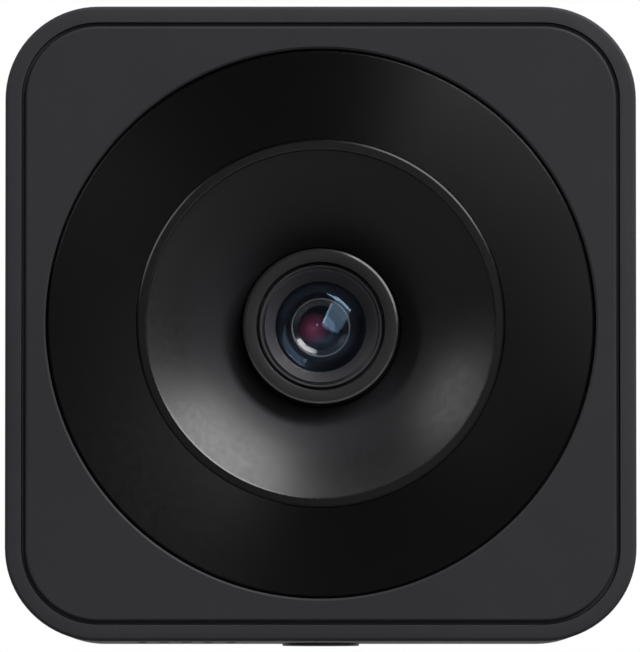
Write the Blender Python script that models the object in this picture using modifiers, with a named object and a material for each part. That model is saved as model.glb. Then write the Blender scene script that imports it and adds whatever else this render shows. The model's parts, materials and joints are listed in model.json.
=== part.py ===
"""A compact dash camera with a square face and a deep round lens recess, built from its separate pieces.

All sizes are in metres. The lens axis runs along Y, the lens looks towards -Y, and depths count back from
the front rim. The finished camera hangs from the steel plate on its top, and the middle of that plate is the
world origin.
"""

import math

import bmesh
import bpy
from mathutils import Matrix, Vector

MM = 0.001

# Clearances
SEAT_GAP = 0.3 * MM
SLIDE_GAP = 0.3 * MM
CUT_MARGIN = 1.0 * MM

# Case, front panel and rear cover
CASE_WIDTH = 62.0 * MM
CASE_HEIGHT = 62.4 * MM
CASE_CORNER_RADIUS = 9.15 * MM
CASE_WALL = 1.6 * MM
CASE_EDGE = 0.4 * MM
BULKHEAD_THICKNESS = 1.5 * MM
PANEL_THICKNESS = 1.8 * MM
PANEL_GROOVE = 0.45 * MM
PANEL_EDGE = 0.2 * MM
COVER_SIDE_DEPTH = 5.7 * MM
COVER_EDGE_RADIUS = 2.2 * MM
COVER_WALL = 2.0 * MM
COVER_LIP_WALL = 1.2 * MM
COVER_LIP_DEPTH = 2.0 * MM

# Lens recess: the trim ring, and the flared bowl whose lip stands through it
RECESS_MARGIN = 4.3 * MM
RING_WIDTH = 8.3 * MM
RING_GAP = 0.35 * MM
RING_SETBACK = 0.5 * MM
RING_RISE = 0.2 * MM
RING_EDGE = 0.25 * MM
RING_SEAT = 2.2 * MM
RING_BACK_CHAMFER = 0.8 * MM
LIP_HEIGHT = 0.3 * MM
LIP_DEPTH = 1.8 * MM
LIP_WIDTH = 1.0 * MM
LIP_EDGE = 0.1 * MM
LIP_FLANK_WIDTH = 0.25 * MM
BOWL_DEPTH = 8.2 * MM
BOWL_FLARE = 0.6 * MM
BOWL_WALL = 1.2 * MM
BOWL_COLLAR_WIDTH = 1.2 * MM
BOWL_COLLAR_DEPTH = 1.3 * MM
BOWL_FLANGE_OVERLAP = 2.5 * MM
BOWL_FLANGE_THICKNESS = 1.3 * MM

# Lens
BARREL_RADIUS = 7.65 * MM
BARREL_GAP = 0.35 * MM
BARREL_PROUD = 3.6 * MM
BARREL_EDGE = 0.25 * MM
BARREL_MOUTH_RADIUS = 6.35 * MM
BARREL_MOUTH_DEPTH = 2.5 * MM
BARREL_THREAD_RADIUS = 5.9 * MM
BARREL_THREAD_LENGTH = 3.3 * MM
BARREL_BACK_RADIUS = 3.0 * MM
BARREL_BACK_LIP = 1.3 * MM
RETAINER_SETBACK = 0.5 * MM
RETAINER_RIDGE = 0.2 * MM
RETAINER_GROOVE_WIDTH = 0.3 * MM
RETAINER_GROOVE_DEPTH = 0.4 * MM
RETAINER_CONE_DEPTH = 1.1 * MM
RETAINER_MOUTH_RADIUS = 4.5 * MM
FRONT_LENS_RADIUS = 4.9 * MM
FRONT_LENS_DOME_RADIUS = 4.2 * MM
FRONT_LENS_DOME_HEIGHT = 1.3 * MM
FRONT_LENS_EDGE = 1.1 * MM
FRONT_LENS_HOLLOW_RADIUS = 3.2 * MM
FRONT_LENS_HOLLOW_DEPTH = 0.8 * MM
STOP_THICKNESS = 0.6 * MM
STOP_HOLE_RADIUS = 2.7 * MM
REAR_LENS_RADIUS = 4.2 * MM
REAR_LENS_LENGTH = 3.0 * MM
REAR_LENS_BULGE = 0.6 * MM
GASKET_WIDTH = 2.4 * MM
GASKET_THICKNESS = 1.4 * MM
HOLDER_TUBE_WALL = 1.8 * MM
HOLDER_BASE = 17.0 * MM
HOLDER_BASE_DEPTH = 3.4 * MM
HOLDER_CORNER_RADIUS = 1.0 * MM
HOLDER_LEDGE_RADIUS = 4.0 * MM
HOLDER_LEDGE_THICKNESS = 0.7 * MM
FILTER_SIDE = 9.6 * MM
FILTER_THICKNESS = 0.6 * MM
SENSOR_SIDE = 8.6 * MM
SENSOR_THICKNESS = 1.2 * MM

# Circuit boards and what they carry
SENSOR_BOARD_SIDE = 24.0 * MM
SENSOR_BOARD_THICKNESS = 1.0 * MM
SENSOR_BOARD_CORNER_RADIUS = 1.5 * MM
CONNECTOR_WIDTH = 12.0 * MM
CONNECTOR_HEIGHT = 3.2 * MM
CONNECTOR_DEPTH = 2.1 * MM
MAIN_BOARD_MARGIN = 2.4 * MM
MAIN_BOARD_THICKNESS = 1.2 * MM
MAIN_BOARD_CORNER_RADIUS = 5.0 * MM
PROCESSOR_SIDE = 12.0 * MM
PROCESSOR_THICKNESS = 1.2 * MM
PROCESSOR_DROP = 1.3 * MM
HEAT_SINK_SIDE = 13.6 * MM
HEAT_SINK_GAP = 0.6 * MM
HEAT_SINK_BASE = 1.0 * MM
HEAT_SINK_FIN_HEIGHT = 2.6 * MM
HEAT_SINK_FIN_WIDTH = 1.0 * MM
HEAT_SINK_FINS = 5
CAPACITOR_RADIUS = 4.0 * MM
CAPACITOR_LENGTH = 17.0 * MM
CAPACITOR_X = 10.5 * MM
CAPACITOR_DROP = 9.8 * MM
CAPACITOR_EDGE = 0.5 * MM
SPEAKER_WIDTH = 14.0 * MM
SPEAKER_DEPTH = 11.0 * MM
SPEAKER_THICKNESS = 4.0 * MM
SPEAKER_X = -13.4 * MM
SPEAKER_Y = 14.0 * MM
SPEAKER_CORNER_RADIUS = 1.5 * MM
MICROPHONE_SIDE = 3.8 * MM
MICROPHONE_THICKNESS = 1.1 * MM
MICROPHONE_X = 13.0 * MM

# Side sockets and the memory card
USB_WIDTH = 8.94 * MM
USB_THICKNESS = 3.26 * MM
USB_LENGTH = 7.4 * MM
USB_SHELL = 0.35 * MM
USB_CORNER_RADIUS = 1.55 * MM
USB_BACK = 1.2 * MM
USB_SETBACK = 0.4 * MM
USB_Z = 8.0 * MM
USB_TONGUE_WIDTH = 6.7 * MM
USB_TONGUE_THICKNESS = 0.7 * MM
USB_TONGUE_LENGTH = 4.6 * MM
CARD_LENGTH = 15.0 * MM
CARD_WIDTH = 11.0 * MM
CARD_THICKNESS = 1.0 * MM
CARD_CORNER = 1.2 * MM
CARD_SETBACK = 0.4 * MM
CARD_OVERTRAVEL = 0.8 * MM
CARD_DROP = 2.15 * MM
CARD_SOCKET_WALL = 0.35 * MM
CARD_SOCKET_SIDE = 1.05 * MM
CARD_NOTCH_RADIUS = 3.0 * MM
CARD_NOTCH_DEPTH = 0.7 * MM

# Display
WINDOW_SIDE_MARGIN = 4.0 * MM
WINDOW_TOP_MARGIN = 8.7 * MM
WINDOW_FOOT_MARGIN = 13.7 * MM
WINDOW_THICKNESS = 0.9 * MM
WINDOW_CORNER_RADIUS = 3.0 * MM
WINDOW_LEDGE = 3.0 * MM
DISPLAY_MARGIN = 2.0 * MM
DISPLAY_THICKNESS = 2.5 * MM
DISPLAY_CORNER_RADIUS = 0.8 * MM
VIEW_CORNER_RADIUS = 1.5 * MM
RIBBON_WIDTH = 14.0 * MM
RIBBON_THICKNESS = 0.25 * MM
RIBBON_GAP = 0.15 * MM
RIBBON_OVERLAP = 6.0 * MM
RIBBON_TAIL = 4.0 * MM

# Rear keys and the button underneath
KEY_WIDTH = 8.6 * MM
KEY_HEIGHT = 4.4 * MM
KEY_CORNER_RADIUS = 1.4 * MM
KEY_PROUD = 0.4 * MM
KEY_EDGE = 0.25 * MM
KEY_FLANGE = 0.8 * MM
KEY_FLANGE_THICKNESS = 0.7 * MM
KEY_TRAVEL = 0.3 * MM
KEY_DROP = 7.6 * MM
KEY_ROW_MARGIN = 0.5 * MM
KEY_SWITCH_SIDE = 4.5 * MM
KEY_SWITCH_THICKNESS = 1.1 * MM
KEY_SWITCH_CORNER_RADIUS = 0.5 * MM
KEY_BOARD_HEIGHT = 7.0 * MM
KEY_BOARD_THICKNESS = 1.0 * MM
KEY_BOARD_CORNER_RADIUS = 1.0 * MM
KEY_HEADER_WIDTH = 9.0 * MM
KEY_HEADER_HEIGHT = 2.6 * MM
KEY_HEADER_DEPTH = 1.5 * MM
LIGHT_RADIUS = 0.7 * MM
LIGHT_FLANGE = 0.6 * MM
LIGHT_FLANGE_THICKNESS = 0.8 * MM
LIGHT_SETBACK = 0.1 * MM
LIGHT_DROP = 1.9 * MM
BUTTON_RADIUS = 3.85 * MM
BUTTON_PROUD = 0.3 * MM
BUTTON_EDGE = 0.15 * MM
BUTTON_FLANGE = 0.6 * MM
BUTTON_FLANGE_THICKNESS = 0.8 * MM
BUTTON_STEM_RADIUS = 1.5 * MM
BUTTON_STEM_LENGTH = 1.0 * MM
BUTTON_TRAVEL = 0.25 * MM
BUTTON_Y = 19.4 * MM
BUTTON_SWITCH_WIDTH = 6.0 * MM
BUTTON_SWITCH_HEIGHT = 3.6 * MM

# Openings in the case walls
VENT_LENGTH = 9.0 * MM
VENT_HEIGHT = 1.2 * MM
VENT_CORNER_RADIUS = 0.54 * MM
VENT_PITCH = 2.5 * MM
VENT_Y = 12.0 * MM
VENT_Z = 13.0 * MM
VENTS = 5
SPEAKER_SLOT_LENGTH = 7.0 * MM
SPEAKER_SLOT_WIDTH = 1.0 * MM
SPEAKER_SLOT_CORNER_RADIUS = 0.45 * MM
SPEAKER_SLOT_PITCH = 2.2 * MM
SPEAKER_SLOTS = 5
MICROPHONE_HOLE_RADIUS = 0.5 * MM

# Mount plate on the top
PLATE_WIDTH = 26.0 * MM
PLATE_DEPTH = 15.0 * MM
PLATE_THICKNESS = 0.9 * MM
PLATE_CORNER_RADIUS = 2.0 * MM
PLATE_Y = 15.0 * MM
PAD_MARGIN = 1.8 * MM
PAD_THICKNESS = 2.0 * MM
PLATE_SCREW_X = 9.0 * MM
PLATE_SCREW_HEAD_RADIUS = 1.5 * MM
PLATE_SCREW_HEAD_HEIGHT = 0.7 * MM
PLATE_SCREW_SETBACK = 0.1 * MM
PLATE_SCREW_RADIUS = 0.7 * MM
PLATE_SCREW_LENGTH = 2.6 * MM

# Case screws, driven in from the rear corners
SCREW_INSET = 5.8 * MM
SCREW_RADIUS = 0.8 * MM
SCREW_LENGTH = 14.0 * MM
SCREW_HEAD_RADIUS = 1.6 * MM
SCREW_HEAD_HEIGHT = 1.2 * MM
SCREW_COUNTERBORE = 2.2 * MM
BOSS_RADIUS = 2.2 * MM

# Facets of round shapes
RECESS_STEPS = 64
BARREL_STEPS = 34
SMALL_STEPS = 12
CORNER_STEPS = 8
SLOT_STEPS = 2
EDGE_STEPS = 3
BOWL_POINTS = 8
DOME_POINTS = 5
HOLLOW_POINTS = 3
RIBBON_BEND_POINTS = 6
SMOOTH_ANGLE = math.radians(32)

# Radii of the lens recess, which follows the narrower side of the case
HALF_WIDTH = CASE_WIDTH / 2
HALF_HEIGHT = CASE_HEIGHT / 2
RING_OUTER_RADIUS = min(HALF_WIDTH, HALF_HEIGHT) - RECESS_MARGIN
RECESS_RADIUS = RING_OUTER_RADIUS - RING_SEAT
RING_BORE_RADIUS = RING_OUTER_RADIUS - RING_WIDTH
LIP_OUTER_RADIUS = RING_BORE_RADIUS - SEAT_GAP
BOWL_RIM_RADIUS = LIP_OUTER_RADIUS - LIP_WIDTH
BOWL_HOLE_RADIUS = BARREL_RADIUS + BARREL_GAP

# Depths that follow from the stack of pieces, front to back
BULKHEAD_FRONT = PANEL_THICKNESS + SEAT_GAP
BULKHEAD_BACK = BULKHEAD_FRONT + BULKHEAD_THICKNESS
FLANGE_FRONT = BULKHEAD_BACK + SEAT_GAP
LIP_FRONT = RING_SETBACK - RING_RISE - LIP_HEIGHT
BOWL_FRONT = LIP_FRONT + LIP_DEPTH
BOWL_FLOOR = BOWL_FRONT + BOWL_DEPTH
BOWL_BACK = BOWL_FLOOR + BOWL_COLLAR_DEPTH
BARREL_FRONT = BOWL_FLOOR - BARREL_PROUD
GASKET_FRONT = BOWL_BACK + SEAT_GAP
GASKET_BACK = GASKET_FRONT + GASKET_THICKNESS
HOLDER_FRONT = GASKET_BACK + SEAT_GAP
BARREL_BACK = GASKET_BACK + BARREL_THREAD_LENGTH
LEDGE_FRONT = BARREL_BACK + SEAT_GAP
LEDGE_BACK = LEDGE_FRONT + HOLDER_LEDGE_THICKNESS
FILTER_FRONT = LEDGE_BACK + SEAT_GAP
SENSOR_FRONT = FILTER_FRONT + FILTER_THICKNESS + SEAT_GAP
HOLDER_BACK = SENSOR_FRONT + SENSOR_THICKNESS
SENSOR_BOARD_FRONT = HOLDER_BACK + SEAT_GAP
SENSOR_BOARD_BACK = SENSOR_BOARD_FRONT + SENSOR_BOARD_THICKNESS
CONNECTOR_FRONT = SENSOR_BOARD_BACK + SEAT_GAP
MAIN_BOARD_FRONT = CONNECTOR_FRONT + CONNECTOR_DEPTH + SEAT_GAP
MAIN_BOARD_BACK = MAIN_BOARD_FRONT + MAIN_BOARD_THICKNESS
POST_FRONT = MAIN_BOARD_BACK + SEAT_GAP
KEY_BOARD_FRONT = POST_FRONT + KEY_HEADER_DEPTH + SEAT_GAP
KEY_BOARD_BACK = KEY_BOARD_FRONT + KEY_BOARD_THICKNESS
KEY_SWITCH_BACK = KEY_BOARD_BACK + SEAT_GAP + KEY_SWITCH_THICKNESS
KEY_FRONT = KEY_SWITCH_BACK + KEY_TRAVEL + SEAT_GAP
COVER_INNER = KEY_FRONT + KEY_FLANGE_THICKNESS + SEAT_GAP
CAMERA_DEPTH = COVER_INNER + COVER_WALL
COVER_FRONT = CAMERA_DEPTH - COVER_SIDE_DEPTH
CASE_BACK = COVER_FRONT - SEAT_GAP
DISPLAY_BACK = COVER_INNER - SEAT_GAP
DISPLAY_FRONT = DISPLAY_BACK - DISPLAY_THICKNESS

# Places that follow from the case
INNER_HALF_WIDTH = HALF_WIDTH - CASE_WALL
INNER_HALF_HEIGHT = HALF_HEIGHT - CASE_WALL
SCREW_X = HALF_WIDTH - SCREW_INSET
SCREW_Z = HALF_HEIGHT - SCREW_INSET
SCREW_PLACES = [(x, z) for x in (-SCREW_X, SCREW_X) for z in (-SCREW_Z, SCREW_Z)]
SCREW_HOLE_RADIUS = SCREW_RADIUS + SLIDE_GAP
WINDOW_WIDTH = CASE_WIDTH - 2 * WINDOW_SIDE_MARGIN
WINDOW_HEIGHT = CASE_HEIGHT - WINDOW_TOP_MARGIN - WINDOW_FOOT_MARGIN
WINDOW_Z = (WINDOW_FOOT_MARGIN - WINDOW_TOP_MARGIN) / 2
KEY_Z = KEY_DROP - HALF_HEIGHT
KEY_PITCH = (SCREW_X - BOSS_RADIUS - KEY_ROW_MARGIN) / 2
KEY_NAMES = ("power_key", "menu_key", "up_key", "down_key")
KEY_PLACES = [(index - 1.5) * KEY_PITCH for index in range(len(KEY_NAMES))]
USB_Y = MAIN_BOARD_FRONT - SEAT_GAP - USB_THICKNESS / 2
USB_MOUTH = USB_SETBACK - HALF_WIDTH
CAPACITOR_Z = HALF_HEIGHT - CAPACITOR_DROP
PROCESSOR_X = SENSOR_BOARD_SIDE / 2 + HEAT_SINK_GAP + HEAT_SINK_SIDE / 2
PROCESSOR_Z = CAPACITOR_Z - CAPACITOR_RADIUS - PROCESSOR_DROP - HEAT_SINK_SIDE / 2
CARD_SOCKET_THICKNESS = CARD_THICKNESS + 2 * (SLIDE_GAP + CARD_SOCKET_WALL)
CARD_SOCKET_WIDTH = CARD_WIDTH + 2 * (SLIDE_GAP + CARD_SOCKET_SIDE)
CARD_Z = PROCESSOR_Z - HEAT_SINK_SIDE / 2 - CARD_DROP - CARD_SOCKET_WIDTH / 2
CARD_Y = MAIN_BOARD_FRONT - SEAT_GAP - CARD_SOCKET_THICKNESS / 2
CARD_OUTER = HALF_WIDTH - CARD_SETBACK
CARD_INNER = CARD_OUTER - CARD_LENGTH

# Finish: colour, roughness, metallic
FINISHES = {
    "case_plastic": ((0.028, 0.028, 0.031), 0.55, 0.0),
    "panel_plastic": ((0.030, 0.030, 0.033), 0.50, 0.0),
    "ring_plastic": ((0.010, 0.010, 0.011), 0.30, 0.0),
    "bowl_plastic": ((0.020, 0.020, 0.022), 0.40, 0.0),
    "barrel_metal": ((0.022, 0.022, 0.024), 0.35, 0.6),
    "lens_glass": ((0.020, 0.015, 0.030), 0.03, 0.0),
    "inner_black": ((0.012, 0.012, 0.013), 0.60, 0.0),
    "foam_rubber": ((0.015, 0.015, 0.015), 0.90, 0.0),
    "circuit_board": ((0.010, 0.090, 0.045), 0.45, 0.0),
    "chip_black": ((0.020, 0.020, 0.022), 0.40, 0.0),
    "filter_glass": ((0.250, 0.420, 0.450), 0.05, 0.0),
    "aluminium": ((0.620, 0.630, 0.640), 0.35, 1.0),
    "capacitor_sleeve": ((0.020, 0.030, 0.070), 0.40, 0.0),
    "steel": ((0.520, 0.520, 0.530), 0.32, 1.0),
    "card_plastic": ((0.030, 0.030, 0.030), 0.45, 0.0),
    "window_black": ((0.008, 0.008, 0.010), 0.06, 0.0),
    "display_grey": ((0.060, 0.065, 0.075), 0.25, 0.0),
    "ribbon_film": ((0.420, 0.200, 0.040), 0.40, 0.0),
    "key_plastic": ((0.040, 0.040, 0.043), 0.45, 0.0),
    "light_pipe": ((0.600, 0.620, 0.640), 0.20, 0.0),
    "screw_black": ((0.060, 0.060, 0.063), 0.38, 0.9),
}


def clear_scene():
    for item in list(bpy.data.objects):
        bpy.data.objects.remove(item, do_unlink=True)


def add_collection(name):
    collection = bpy.data.collections.new(name)
    bpy.context.scene.collection.children.link(collection)
    return collection


def finish_material(finish):
    """The material of that finish, made on its first use."""
    if finish in bpy.data.materials:
        return bpy.data.materials[finish]
    colour, roughness, metallic = FINISHES[finish]
    material = bpy.data.materials.new(finish)
    material.use_nodes = True
    shader = material.node_tree.nodes["Principled BSDF"]
    shader.inputs["Base Color"].default_value = (*colour, 1.0)
    shader.inputs["Roughness"].default_value = roughness
    shader.inputs["Metallic"].default_value = metallic
    material.diffuse_color = (*colour, 1.0)
    return material


# Forms: each function returns a bmesh in the camera's own frame


def block(centre, size, along=(0, 1, 0), radius=0.0, segments=CORNER_STEPS):
    """A box with the four edges that run in one direction rounded."""
    form = bmesh.new()
    bmesh.ops.create_cube(form, size=1.0)
    bmesh.ops.scale(form, vec=size, verts=form.verts)
    if radius:
        line = Vector(along)
        edges = [e for e in form.edges if (e.verts[1].co - e.verts[0].co).cross(line).length < radius / 100]
        bmesh.ops.bevel(form, geom=edges, offset=radius, segments=segments, profile=0.5, affect="EDGES")
    bmesh.ops.translate(form, vec=centre, verts=form.verts)
    return form


def slab(width, height, front, back, radius=0.0, x=0.0, z=0.0, segments=CORNER_STEPS):
    """A plate that faces the front, from one depth to another."""
    return block((x, (front + back) / 2, z), (width, back - front, height), (0, 1, 0), radius, segments)


def case_slab(inset, front, back):
    """A plate with the case's outline, moved in by the inset."""
    radius = CASE_CORNER_RADIUS - inset
    return slab(CASE_WIDTH - 2 * inset, CASE_HEIGHT - 2 * inset, front, back, radius)


def rod(radius, start, end, segments=SMALL_STEPS):
    """A round bar between two points."""
    start = Vector(start)
    span = Vector(end) - start
    form = bmesh.new()
    bmesh.ops.create_cone(
        form, cap_ends=True, segments=segments, radius1=radius, radius2=radius, depth=span.length
    )
    turn = Vector((0, 0, 1)).rotation_difference(span).to_matrix().to_4x4()
    bmesh.ops.transform(form, matrix=Matrix.Translation(start + span / 2) @ turn, verts=form.verts)
    return form


def bevel_at_depth(form, depth, width, segments):
    """Rounds the edges of a plate that lie at one depth."""
    edges = [e for e in form.edges if all(abs(v.co.y - depth) < width / 100 for v in e.verts)]
    bmesh.ops.bevel(form, geom=edges, offset=width, segments=segments, profile=0.5, affect="EDGES")
    return form


def cap_sphere(rim_radius, height):
    """The radius of the sphere that a dome of this rim and height is cut from."""
    return (rim_radius**2 + height**2) / (2 * height)


def arc_points(radius, centre_y, start_r, end_r, count):
    """Points (r, y) on a sphere's profile, evenly spaced by angle, between two distances from the axis."""
    first = math.asin(start_r / radius)
    last = math.asin(end_r / radius)
    angles = [first + (last - first) * step / (count - 1) for step in range(count)]
    return [(radius * math.sin(angle), centre_y + radius * math.cos(angle)) for angle in angles]


def flared_points(start, end, bulge, count):
    """Points (r, y) on an arc between two points of a funnel's wall, which bulges into the funnel."""
    start = Vector(start)
    end = Vector(end)
    along = (end - start).normalized()
    inward = Vector((along.y, -along.x))
    radius = cap_sphere((end - start).length / 2, bulge)
    centre = (start + end) / 2 - inward * (radius - bulge)
    half_turn = math.asin((end - start).length / 2 / radius)
    turns = [half_turn * (2 * step / (count - 1) - 1) for step in range(count)]
    return [tuple(centre + radius * (inward * math.cos(t) + along * math.sin(t))) for t in turns]


# Pieces


def add_piece(name, mesh, finish, origin=(0.0, 0.0, 0.0)):
    """Puts a mesh in the camera as a named piece, with its origin at the given point."""
    origin = Vector(origin)
    mesh.name = name
    mesh.transform(Matrix.Translation(-origin))
    mesh.materials.clear()
    mesh.materials.append(finish_material(finish))
    mesh.shade_smooth()
    mesh.set_sharp_from_angle(angle=SMOOTH_ANGLE)
    piece = bpy.data.objects.new(name, mesh)
    PARTS.objects.link(piece)
    piece.parent = FRAME
    piece.location = origin
    return piece


def mesh_of(*forms):
    """One mesh of all the forms, which are used up."""
    whole = bmesh.new()
    for form in forms:
        scrap = bpy.data.meshes.new("form")
        form.to_mesh(scrap)
        form.free()
        whole.from_mesh(scrap)
        bpy.data.meshes.remove(scrap)
    mesh = bpy.data.meshes.new("forms")
    whole.to_mesh(mesh)
    whole.free()
    return mesh


def solid(name, form, finish, origin=(0.0, 0.0, 0.0)):
    return add_piece(name, mesh_of(form), finish, origin)


def turned(name, profile, finish, steps, origin=(0.0, 0.0, 0.0), upright=False):
    """A piece turned about the lens axis from points (r, y), or about an upright axis from points (r, z).

    The profile runs outwards along its leading end, which faces the front or the top, and then back inwards.
    """
    points = [(r, 0.0, along if upright else -along) for r, along in profile]
    closed = profile[0][0] > 0 and profile[-1][0] > 0
    last = len(points) if closed else len(points) - 1
    outline = bpy.data.meshes.new(name + "_profile")
    outline.from_pydata(points, [(i, (i + 1) % len(points)) for i in range(last)], [])
    blank = bpy.data.objects.new(name + "_profile", outline)
    bpy.context.scene.collection.objects.link(blank)
    screw = blank.modifiers.new("turn", "SCREW")
    screw.axis = "Z"
    screw.steps = steps
    screw.render_steps = steps
    screw.use_merge_vertices = True
    screw.merge_threshold = 0.001 * MM
    mesh = bpy.data.meshes.new_from_object(blank.evaluated_get(bpy.context.evaluated_depsgraph_get()))
    bpy.data.objects.remove(blank)
    bpy.data.meshes.remove(outline)
    if not upright:
        mesh.transform(Matrix.Rotation(math.pi / 2, 4, "X"))
    mesh.transform(Matrix.Translation(origin))
    return add_piece(name, mesh, finish, origin)


def combine(piece, operation, *forms):
    """Joins the forms to a piece, or cuts them out of it."""
    name = f"{piece.name}_{operation.lower()}_{len(piece.modifiers)}"
    helper = bpy.data.objects.new(name, mesh_of(*forms))
    CUTTERS.objects.link(helper)
    helper.parent = FRAME
    helper.hide_render = True
    helper.display_type = "WIRE"
    modifier = piece.modifiers.new(operation.lower(), "BOOLEAN")
    modifier.operation = operation
    modifier.object = helper


def join(piece, *forms):
    combine(piece, "UNION", *forms)


def cut(piece, *forms):
    combine(piece, "DIFFERENCE", *forms)


# Case: a sleeve with a bulkhead behind the front panel, four screw bosses and a pad under the mount plate


def wall_openings():
    """What is cut through the case's side walls and its underside."""
    through = CASE_WALL + 2 * CUT_MARGIN
    usb = block(
        (CASE_WALL / 2 - HALF_WIDTH, USB_Y, USB_Z),
        (through, USB_THICKNESS + 2 * SEAT_GAP, USB_WIDTH + 2 * SEAT_GAP),
        (1, 0, 0),
        USB_CORNER_RADIUS + SEAT_GAP,
        CORNER_STEPS // 2,
    )
    card = block(
        (HALF_WIDTH - CASE_WALL / 2, CARD_Y, CARD_Z),
        (through, CARD_THICKNESS + 2 * SLIDE_GAP, CARD_WIDTH + 2 * SLIDE_GAP),
    )
    button = rod(
        BUTTON_RADIUS + SLIDE_GAP,
        (0, BUTTON_Y, -HALF_HEIGHT - CUT_MARGIN),
        (0, BUTTON_Y, -INNER_HALF_HEIGHT + CUT_MARGIN),
        2 * SMALL_STEPS,
    )
    microphone = rod(
        MICROPHONE_HOLE_RADIUS,
        (MICROPHONE_X, BUTTON_Y, -HALF_HEIGHT - CUT_MARGIN),
        (MICROPHONE_X, BUTTON_Y, -INNER_HALF_HEIGHT + CUT_MARGIN),
    )
    openings = [usb, card, button, microphone]
    for index in range(SPEAKER_SLOTS):
        x = SPEAKER_X + (index - (SPEAKER_SLOTS - 1) / 2) * SPEAKER_SLOT_PITCH
        openings.append(
            block(
                (x, SPEAKER_Y, CASE_WALL / 2 - HALF_HEIGHT),
                (SPEAKER_SLOT_WIDTH, SPEAKER_SLOT_LENGTH, through),
                (0, 0, 1),
                SPEAKER_SLOT_CORNER_RADIUS,
                SLOT_STEPS,
            )
        )
    for side in (-1, 1):
        for index in range(VENTS):
            z = VENT_Z + (index - (VENTS - 1) / 2) * VENT_PITCH
            openings.append(
                block(
                    (side * (HALF_WIDTH - CASE_WALL / 2), VENT_Y, z),
                    (through, VENT_LENGTH, VENT_HEIGHT),
                    (1, 0, 0),
                    VENT_CORNER_RADIUS,
                    SLOT_STEPS,
                )
            )
    return openings


def build_case():
    shell = bevel_at_depth(case_slab(0.0, 0.0, CASE_BACK), 0.0, CASE_EDGE, 2)
    case = solid("case", shell, "case_plastic")
    cut(
        case,
        case_slab(CASE_WALL, -CUT_MARGIN, BULKHEAD_FRONT),
        case_slab(CASE_WALL, BULKHEAD_BACK, CASE_BACK + CUT_MARGIN),
    )
    boss_root = BULKHEAD_FRONT + BULKHEAD_THICKNESS / 2
    boss_back = MAIN_BOARD_FRONT - SEAT_GAP
    bosses = [rod(BOSS_RADIUS, (x, boss_root, z), (x, boss_back, z)) for x, z in SCREW_PLACES]
    pad = block(
        (0, PLATE_Y, INNER_HALF_HEIGHT - (PAD_THICKNESS - CASE_WALL / 2) / 2),
        (PLATE_WIDTH + 2 * PAD_MARGIN, PLATE_DEPTH + 2 * PAD_MARGIN, PAD_THICKNESS + CASE_WALL / 2),
    )
    join(case, pad, *bosses)
    recess = rod(
        RECESS_RADIUS, (0, BULKHEAD_FRONT - CUT_MARGIN, 0), (0, BULKHEAD_BACK + CUT_MARGIN, 0), RECESS_STEPS
    )
    pilot_front = CAMERA_DEPTH - SCREW_COUNTERBORE + SEAT_GAP - SCREW_LENGTH - SEAT_GAP
    pilots = [
        rod(SCREW_HOLE_RADIUS, (x, pilot_front, z), (x, boss_back + CUT_MARGIN, z)) for x, z in SCREW_PLACES
    ]
    plate_recess = block(
        (0, PLATE_Y, HALF_HEIGHT),
        (PLATE_WIDTH + 2 * SEAT_GAP, PLATE_DEPTH + 2 * SEAT_GAP, 2 * (PLATE_THICKNESS + SEAT_GAP)),
        (0, 0, 1),
        PLATE_CORNER_RADIUS + SEAT_GAP,
        4,
    )
    cut(case, recess, plate_recess, *pilots, *wall_openings())
    plate_pilot_top = HALF_HEIGHT - PLATE_THICKNESS
    plate_pilot_bottom = HALF_HEIGHT - PLATE_SCREW_SETBACK - PLATE_SCREW_LENGTH - SEAT_GAP
    notch_middle = HALF_WIDTH + CARD_NOTCH_RADIUS - CARD_NOTCH_DEPTH
    notch_half = CARD_WIDTH / 2
    cut(
        case,
        rod(
            CARD_NOTCH_RADIUS,
            (notch_middle, CARD_Y, CARD_Z - notch_half),
            (notch_middle, CARD_Y, CARD_Z + notch_half),
            2 * SMALL_STEPS,
        ),
        *[
            rod(
                PLATE_SCREW_RADIUS + SLIDE_GAP,
                (x, PLATE_Y, plate_pilot_bottom),
                (x, PLATE_Y, plate_pilot_top),
            )
            for x in (-PLATE_SCREW_X, PLATE_SCREW_X)
        ],
    )


# Front: the flat panel inside the rim, the trim ring, and the flared bowl with its lip


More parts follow.
